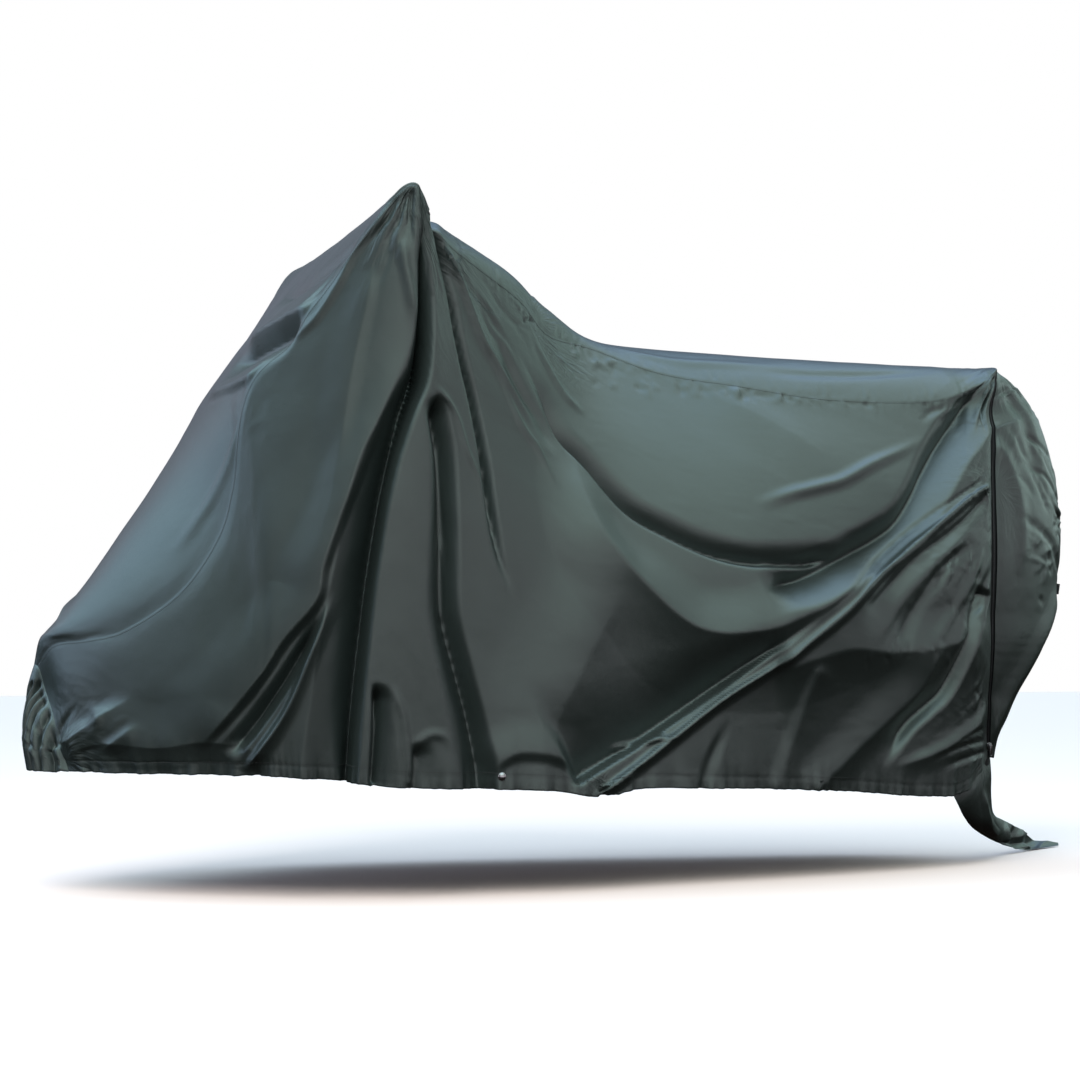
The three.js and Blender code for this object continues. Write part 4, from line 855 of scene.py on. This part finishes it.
def noise(nodes, links, **settings):
    """A noise texture over the piece's own place, with its settings by name."""
    coord = nodes.new("ShaderNodeTexCoord")
    node = nodes.new("ShaderNodeTexNoise")
    for name, value in settings.items():
        node.inputs[name.capitalize()].default_value = value
    links.new(coord.outputs["Object"], node.inputs["Vector"])
    return node.outputs["Fac"]


def varied_roughness(nodes, links, shader, value, low, high):
    """Roughness that runs from low to high with a value."""
    spread = nodes.new("ShaderNodeMapRange")
    spread.inputs["To Min"].default_value = low
    spread.inputs["To Max"].default_value = high
    links.new(value, spread.inputs["Value"])
    links.new(spread.outputs[0], shader.inputs["Roughness"])


def attribute(nodes, name, output):
    node = nodes.new("ShaderNodeAttribute")
    node.attribute_name = name
    return node.outputs[output]


def add_bump(nodes, links, shader, layers):
    """Stacks bump layers, each as (height output, distance in metres, strength)."""
    last = None
    for height, distance, strength in layers:
        bump = nodes.new("ShaderNodeBump")
        bump.inputs["Distance"].default_value = distance
        bump.inputs["Strength"].default_value = strength
        links.new(height, bump.inputs["Height"])
        if last is not None:
            links.new(last, bump.inputs["Normal"])
        last = bump.outputs[0]
    links.new(last, shader.inputs["Normal"])


def weave(nodes, links, threads):
    """Plain weave from the cloth's own map, which is in metres."""
    uv = nodes.new("ShaderNodeUVMap")
    uv.uv_map = "cloth"
    split = nodes.new("ShaderNodeSeparateXYZ")
    links.new(uv.outputs[0], split.inputs[0])
    turns = 2 * math.pi * threads
    waves = [number(nodes, links, "SINE", number(nodes, links, "MULTIPLY", out, turns))
             for out in (split.outputs[0], split.outputs[1])]
    return number(nodes, links, "MULTIPLY", *waves)


def coated_cloth():
    """Dark grey-green nylon with a thin shiny coat and fine crinkles."""
    mat, nodes, links, shader = new_material("coated_cloth")
    grain = noise(nodes, links, scale=7.0, detail=5.0)
    tone = nodes.new("ShaderNodeMix")
    tone.data_type = "RGBA"
    tone.inputs[6].default_value = (0.0165, 0.0225, 0.0212, 1)
    tone.inputs[7].default_value = (0.0235, 0.032, 0.030, 1)
    links.new(grain, tone.inputs[0])
    links.new(tone.outputs[2], shader.inputs["Base Color"])
    varied_roughness(nodes, links, shader, grain, 0.29, 0.37)
    shader.inputs["IOR"].default_value = 1.95
    shader.inputs["Specular Tint"].default_value = (0.86, 1, 0.96, 1)
    crinkle = noise(nodes, links, scale=42.0, detail=6.0, roughness=0.55, distortion=0.8)
    # pleats that run away from the pinched places, from the flow map of each sheet
    pleat = nodes.new("ShaderNodeTexNoise")
    pleat.inputs["Scale"].default_value = 1.0
    pleat.inputs["Detail"].default_value = 2.0
    links.new(attribute(nodes, "flow", "Vector"), pleat.inputs["Vector"])
    off_middle = number(nodes, links, "SUBTRACT", pleat.outputs["Fac"], 0.5)
    creases = number(nodes, links, "MULTIPLY", number(nodes, links, "ABSOLUTE", off_middle),
                     attribute(nodes, "worn", "Fac"))
    add_bump(nodes, links, shader, [(creases, 0.009, 1.0), (crinkle, 0.0007, 0.5),
                                    (weave(nodes, links, 1500), 0.00006, 0.5)])
    return mat


def plain(name, colour, roughness, metallic=0.0, grain=30.0, depth=0.0002):
    """A plain finish with a slight unevenness."""
    mat, nodes, links, shader = new_material(name)
    shader.inputs["Base Color"].default_value = (*colour, 1)
    shader.inputs["Metallic"].default_value = metallic
    speckle = noise(nodes, links, scale=grain, detail=4.0)
    varied_roughness(nodes, links, shader, speckle, roughness * 0.85, min(1.0, roughness * 1.15))
    add_bump(nodes, links, shader, [(speckle, depth, 0.4)])
    return mat


CLOTH = coated_cloth()
TAPE = plain("zip_tape", (0.006, 0.007, 0.008), 0.75, grain=900, depth=0.0004)
TEETH = plain("zip_teeth", (0.012, 0.013, 0.014), 0.4, grain=300)
METAL = plain("nickel", (0.52, 0.53, 0.54), 0.28, 1.0, grain=220, depth=0.0001)
WEBBING = plain("webbing", (0.008, 0.009, 0.010), 0.8, grain=700, depth=0.0005)
THREAD = plain("thread", (0.055, 0.062, 0.062), 0.6, grain=900)


# ---------------------------------------------------------------- the cloth pieces
def pleat_flow(grid, share):
    """Map for the pleats of a sheet: turn about the nearest pinched place, way from it, and strength."""
    flow = np.zeros(grid.shape[:2] + (4,))
    over, down = run_lengths(grid, 0), run_lengths(grid, 1)
    for k, row in enumerate(PINCHES):
        for side in (-1, 1):
            x, y, z = row["at"]
            far = np.linalg.norm(grid - np.array([x, -side * y, z]), axis=2)
            i, j = np.unravel_index(np.argmin(far), far.shape)
            if far[i, j] > 60:
                continue
            du, dv = over - over[i, j], down - down[i, j]
            away = np.hypot(du, dv)
            strength = share * row["strength"] * smooth(away / 45)
            strength = strength * np.exp(-((away / row["reach"]) ** 2))
            turn = np.arctan2(dv, du)
            here = np.stack([row["pleats"] * np.cos(turn), row["pleats"] * np.sin(turn),
                             away / row["long"] + 9 * k, strength], -1)
            flow = np.where((strength > flow[..., 3])[..., None], here, flow)
    return flow


def lay_cloth(name, grid, turn, node, pleats=1):
    """One sheet of the cover."""
    obj, (width, length, area) = cloth_mesh(name, grid, turn, pleat_flow(grid, pleats))
    obj.data.materials.append(CLOTH)
    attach(obj, "root")
    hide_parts(node)
    return obj


lay_cloth("left_side_cloth", left, -1, "side_panel_left")
lay_cloth("right_side_cloth", right, 1, "side_panel_right")
lay_cloth("spine_cloth", spine, 1, "spine_panel")
lay_cloth("tail_cloth", tail, 1, "tail_panel")
lay_cloth("nose_cloth", nose, -1, "nose_gusset", pleats=0.4)
lay_cloth("flap_cloth", flap, 1, "rear_flap")


# ---------------------------------------------------------------- zip, stud, tab and stitches
def metres(p):
    return Vector((p[0] + CENTRING, p[1], p[2])) / 1000


def frame_at(point, across, out):
    """Placing matrix with x across, y along and z out of the cloth."""
    out = Vector(out).normalized()
    along = out.cross(Vector(across)).normalized()
    side = along.cross(out).normalized()
    matrix = Matrix((side, along, out)).transposed().to_4x4()
    matrix.translation = metres(point)
    return matrix


def finished(bm, name, material, node, smooth_faces=True):
    bmesh.ops.recalc_face_normals(bm, faces=bm.faces)
    mesh = bpy.data.meshes.new(name)
    bm.to_mesh(mesh)
    bm.free()
    mesh.polygons.foreach_set("use_smooth", np.full(len(mesh.polygons), smooth_faces))
    mesh.materials.append(material)
    obj = bpy.data.objects.new(name, mesh)
    bpy.context.scene.collection.objects.link(obj)
    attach(obj, "root")
    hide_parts(node)
    return obj


def block(bm, matrix, size, at=(0, 0, 0), edge=0.0):
    """A box of a size in millimetres with its centre at a place in the matrix's own axes."""
    scale = Matrix.Diagonal((*[s / 1000 for s in size], 1))
    made = bmesh.ops.create_cube(bm, size=1, matrix=matrix @ Matrix.Translation(
        Vector(at) / 1000) @ scale)
    if edge:
        faces = {f for v in made["verts"] for f in v.link_faces}
        edges = {e for f in faces for e in f.edges}
        bmesh.ops.bevel(bm, geom=list(edges), offset=edge / 1000, segments=2, profile=0.5,
                        affect="EDGES", material=-1)


def turned(bm, rings):
    """A turned piece: rings as (radius, height) in millimetres, spun about the axis."""
    verts = [bm.verts.new((r / 1000, 0, h / 1000)) for r, h in rings]
    edges = [bm.edges.new(pair) for pair in zip(verts, verts[1:])]
    bmesh.ops.spin(bm, geom=verts + edges, cent=(0, 0, 0), axis=(0, 0, 1),
                   angle=2 * math.pi, steps=28, use_merge=True)
    bmesh.ops.remove_doubles(bm, verts=bm.verts, dist=1e-6)


def zip_tapes():
    """The two tapes, sunk behind the edges of the cloth and running on a little below the hem."""
    rows = np.concatenate([slit, slit[-1:] + (slit[-1:] - slit[-2:-1]) * np.array([[2], [4]])])
    out, into, half = (np.concatenate([a, a[-1:], a[-1:]]) for a in (slit_out, slit_in, zip_half))
    c = np.array([-1, -0.7, -0.4, -0.12, 0.12, 0.4, 0.7, 1])
    depth = np.array([3.4, 3.0, 2.6, 2.2, 2.2, 2.6, 3.0, 3.4])
    grid = (rows[:, None] + into[:, None] * (c[None, :, None] * (half + 5)[:, None, None])
            - out[:, None] * depth[None, :, None])
    obj, _ = cloth_mesh("zip_tapes", grid[4:], 1)
    obj.data.materials.append(TAPE)
    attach(obj, "root")
    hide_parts("zip")


def zip_teeth(pitch=2.7):
    bm = bmesh.new()
    run = run_along(slit)
    for k, at in enumerate(np.arange(12, run[-1] - 22, pitch / 2)):
        point, out, into = (points_at(at, run, a) for a in (slit, slit_out, slit_in))
        side = 1 if k % 2 else -1
        block(bm, frame_at(point - out * 1.4, into, out), (2.6, 1.15, 1.5), (side * 0.75, 0, 0))
    finished(bm, "zip_teeth", TEETH, "zip", smooth_faces=False)


def zip_slider():
    low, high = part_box("zip_slider")
    middle = (low + high) / 2
    near = int(np.argmin(np.linalg.norm(slit - (np.array(middle) * 1000 - [CENTRING, 0, 0]), axis=1)))
    out, into = slit_out[near], slit_in[near]
    place = frame_at(slit[near] + out * 0.4, -into, out)
    bm = bmesh.new()
    # its two plates, the post between them, and the bridge on its two feet
    for size, at, edge in (((10.4, 15, 1.4), (0, 0, 0), 0.5), ((9.6, 13.5, 1.4), (0, 0, 3.4), 0.5),
                           ((2.6, 4.6, 3.0), (0, 4.6, 1.8), 0.4), ((2.2, 1.6, 2.0), (0, 4.2, 4.8), 0.4),
                           ((2.2, 1.6, 2.0), (0, -3.4, 4.8), 0.4),
                           ((2.2, 9.2, 1.2), (0, 0.4, 6.0), 0.4)):
        block(bm, place, size, at, edge)
    finished(bm, "slider", METAL, "zip_slider")
    bm = bmesh.new()
    hang = place @ Matrix.Translation(Vector((0, -8, 5.6)) / 1000)
    plate(bm, hang, width=8.6, length=25, hole=4.2, thick=1.5)
    finished(bm, "pull", METAL, "zip_pull")


def plate(bm, matrix, width, length, hole, thick):
    """A pull: a strap that widens to an eye with a round hole."""
    count = 28
    eye = -length / 2 + width / 2
    outer, inner = [], []
    for k in range(count):
        a = 2 * math.pi * k / count
        x, y = math.cos(a) * width / 2, eye + math.sin(a) * width / 2
        if math.sin(a) > 0.5:
            y, x = length / 2 - 1.2 + 1.2 * (math.sin(a) - 0.5) * 2, math.cos(a) * width * 0.42
        outer.append(bm.verts.new(matrix @ (Vector((x, y, 0)) / 1000)))
        inner.append(bm.verts.new(matrix @ (Vector((math.cos(a) * hole / 2,
                                                   eye + math.sin(a) * hole / 2, 0)) / 1000)))
    rings = [[bm.edges.new((ring[k], ring[(k + 1) % count])) for k in range(count)]
             for ring in (outer, inner)]
    faces = bmesh.ops.bridge_loops(bm, edges=rings[0] + rings[1])["faces"]
    made = bmesh.ops.extrude_face_region(bm, geom=faces)
    up = (matrix.to_3x3() @ Vector((0, 0, 1))) * thick / 1000
    bmesh.ops.translate(bm, vec=up, verts=[g for g in made["geom"] if isinstance(g, bmesh.types.BMVert)])
    bmesh.ops.recalc_face_normals(bm, faces=bm.faces)
    sharp = [e for e in bm.edges if len(e.link_faces) == 2 and e.calc_face_angle() > 1.0]
    bmesh.ops.bevel(bm, geom=sharp, offset=0.35 / 1000, segments=2, profile=0.5, affect="EDGES",
                    material=-1)


def nearest(grid, point):
    """Place in a grid that is nearest to a point in metres."""
    target = np.array(point) * 1000 - [CENTRING, 0, 0]
    return np.unravel_index(np.argmin(np.linalg.norm(grid - target, axis=2)), grid.shape[:2])


def press_stud():
    low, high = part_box("press_stud")
    k = nearest(left, (low + high) / 2)
    normals = grid_normals(left, -1)
    out = unit(normals[k[0] - 2:k[0] + 3, k[1] - 2:k[1] + 3].mean((0, 1)))
    place = frame_at(left[k] + out * 0.6, (1, 0, 0), out)
    bm = bmesh.new()
    turned(bm, [(0.0, 3.6), (2.2, 3.5), (4.2, 3.0), (5.4, 2.1), (5.8, 1.5), (6.3, 1.5), (7.0, 1.2),
                (7.2, 0.5), (7.0, 0.0), (0.0, 0.0)])
    bmesh.ops.transform(bm, matrix=place, verts=bm.verts)
    finished(bm, "stud", METAL, "press_stud")


def tail_tab():
    """A folded strip of webbing that stands out of the tail, with its stitched foot."""
    low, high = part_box("tail_tab")
    k = nearest(tail, np.array((low + high) / 2) - [0, 0, 0.008])
    normals = grid_normals(tail, 1)
    out = unit(normals[k[0] - 3:k[0] + 4, k[1] - 3:k[1] + 4].mean((0, 1)))
    place = frame_at(tail[k] - out * 1.0, (0, 1, 0), out)
    bm = bmesh.new()
    for side in (-1, 1):
        block(bm, place, (1.5, 22, 9), (side * 1.15, 0, 4.5), 0.35)
    block(bm, place, (3.8, 22, 1.8), (0, 0, 9.2), 0.8)
    for y in range(-9, 10, 3):
        block(bm, place, (4.3, 1.8, 0.8), (0, y, 3.0), 0.2)
    finished(bm, "tab", WEBBING, "tail_tab")


def stitches(bm, line, out, pitch=4.8, long=3.2, across=0.8):
    """A row of stitches along a line that lies on the cloth."""
    run = run_along(line)
    for at in np.arange(6, run[-1] - 6, pitch):
        p, q = (points_at(at + step, run, line) for step in (-long / 2, long / 2))
        n = points_at(at, run, out)
        block(bm, frame_at((p + q) / 2 + n * 0.15, np.cross(q - p, n), n), (across, long, 0.7))


zip_tapes()
zip_teeth()
zip_slider()
press_stud()
tail_tab()
sewn = (("left", left, grid_normals(left, -1)), ("right", right, grid_normals(right, 1)))
bm = bmesh.new()
for _, grid, out in sewn:
    stitches(bm, grid[:, SEAM_LINE], out[:, SEAM_LINE])
finished(bm, "seam_stitches", THREAD, "spine_panel", smooth_faces=False)
for side, grid, out in sewn:
    bm = bmesh.new()
    stitches(bm, grid[4:-4, HEM_LINE], out[4:-4, HEM_LINE], pitch=6.5, long=4.4)
    finished(bm, "hem_stitches_" + side, THREAD, "side_panel_" + side, smooth_faces=False)

# ---------------------------------------------------------------- floor, light and camera
floor_mesh = bpy.data.meshes.new("floor")
bm = bmesh.new()
bmesh.ops.create_grid(bm, x_segments=1, y_segments=1, size=30)
bm.to_mesh(floor_mesh)
bm.free()
floor = bpy.data.objects.new("floor", floor_mesh)
bpy.context.scene.collection.objects.link(floor)
floor_mat, _, _, shader = new_material("pale_floor")
shader.inputs["Base Color"].default_value = (0.98, 0.83, 0.77, 1)
shader.inputs["Roughness"].default_value = 0.9
floor_mesh.materials.append(floor_mat)
floor.visible_diffuse = False
floor.visible_glossy = False

world = bpy.data.worlds.new("studio")
bpy.context.scene.world = world
world.use_nodes = True
nodes, links = world.node_tree.nodes, world.node_tree.links
nodes.clear()
output = nodes.new("ShaderNodeOutputWorld")
back = nodes.new("ShaderNodeBackground")
back.inputs["Color"].default_value = (1, 1, 1, 1)
dome = nodes.new("ShaderNodeBackground")
ramp = nodes.new("ShaderNodeValToRGB")
coord = nodes.new("ShaderNodeTexCoord")
scale = nodes.new("ShaderNodeMapRange")
scale.inputs["From Min"].default_value = -1
rays = nodes.new("ShaderNodeLightPath")
blend = nodes.new("ShaderNodeMixShader")
lean = nodes.new("ShaderNodeVectorMath")
lean.operation = "DOT_PRODUCT"
lean.inputs[1].default_value = (0.02, -0.15, 0.985)
links.new(coord.outputs["Generated"], lean.inputs[0])
links.new(lean.outputs["Value"], scale.inputs["Value"])
links.new(scale.outputs[0], ramp.inputs[0])
stops = ramp.color_ramp.elements
stops[0].position, stops[0].color = 0.47, (0.006, 0.0045, 0.004, 1)
stops[1].position, stops[1].color = 1.0, (0.52, 0.70, 0.90, 1)
for level, colour in ((0.525, (0.17, 0.148, 0.158, 1)), (0.555, (0.56, 0.50, 0.54, 1)),
                      (0.60, (0.50, 0.46, 0.49, 1)), (0.66, (0.25, 0.25, 0.25, 1)),
                      (0.71, (0.16, 0.165, 0.165, 1)), (0.78, (0.40, 0.45, 0.43, 1)),
                      (0.88, (0.58, 0.68, 0.64, 1)), (0.93, (0.47, 0.58, 0.56, 1))):
    stops.new(level).color = colour


def tinted(colour, axis, low, high, factor):
    """The dome's colour, multiplied around one direction between two cosines."""
    toward = nodes.new("ShaderNodeVectorMath")
    toward.operation = "DOT_PRODUCT"
    toward.inputs[1].default_value = axis
    links.new(coord.outputs["Generated"], toward.inputs[0])
    share = nodes.new("ShaderNodeMapRange")
    share.inputs["From Min"].default_value = low
    share.inputs["From Max"].default_value = high
    links.new(toward.outputs["Value"], share.inputs["Value"])
    mixed = nodes.new("ShaderNodeMix")
    mixed.data_type = "RGBA"
    mixed.blend_type = "MULTIPLY"
    mixed.inputs[7].default_value = (*factor, 1)
    links.new(share.outputs[0], mixed.inputs[0])
    links.new(colour, mixed.inputs[6])
    return mixed.outputs[2]


# Patches of the dome: their direction, the cosines where they begin and are full, and their tint
PATCHES = [
    ((-0.76, 0.42, 0.50), 0.78, 0.94, (1.5, 1.9, 2.45)),  # in front of the nose: bright and blue
    ((0.25, 0.90, 0.36), 0.68, 0.92, (0.25, 0.27, 0.33)),  # beyond the right side: dim
    ((0.90, 0.40, 0.17), 0.80, 0.97, (0.95, 1.35, 1.2)),  # behind the tail: green
    ((0.35, 0.45, 0.82), 0.86, 0.97, (1.05, 1.2, 1.7)),  # above the strip: blue
    ((-0.83, -0.44, 0.33), 0.80, 0.95, (0.22, 0.23, 0.26)),  # left of the camera: dark
    ((0.85, -0.42, 0.34), 0.82, 0.96, (0.5, 0.48, 0.5)),  # right of the camera: dim
    ((-0.72, 0.65, 0.05), 0.86, 0.97, (0.30, 0.40, 0.37)),  # low beyond the nose: dark
]
sky = ramp.outputs[0]
for patch in PATCHES:
    sky = tinted(sky, *patch)
links.new(sky, dome.inputs["Color"])
dome.inputs["Strength"].default_value = 2.4
links.new(rays.outputs["Is Camera Ray"], blend.inputs[0])
links.new(dome.outputs[0], blend.inputs[1])
links.new(back.outputs[0], blend.inputs[2])
links.new(blend.outputs[0], output.inputs[0])

key = bpy.data.lights.new("key", "AREA")
key.energy = 220
key.size = 3.0
key_obj = bpy.data.objects.new("key", key)
key_obj.location = (-2.5, -3.0, 4.0)
key_obj.visible_glossy = False
key_obj.rotation_euler = (Vector((0, 0, 0.6)) - key_obj.location).to_track_quat("-Z", "Y").to_euler()
bpy.context.scene.collection.objects.link(key_obj)

# The camera stands at the photograph's place: 20.5 degrees off the side, looking 3.7 degrees up
FOCAL_PX, FRAME_PX = 2042.0, 1080
YAW, PITCH = 0.3579, 0.0646
camera = bpy.data.cameras.new("camera")
camera.sensor_width = 36
camera.lens = FOCAL_PX / FRAME_PX * camera.sensor_width
eye = bpy.data.objects.new("camera", camera)
eye.location = (-1.525, -3.648, 0.382)
look = Vector((math.sin(YAW) * math.cos(PITCH), math.cos(YAW) * math.cos(PITCH), math.sin(PITCH)))
eye.rotation_euler = look.to_track_quat("-Z", "Y").to_euler()
bpy.context.scene.collection.objects.link(eye)
bpy.context.scene.camera = eye
bpy.context.scene.view_settings.view_transform = "Standard"
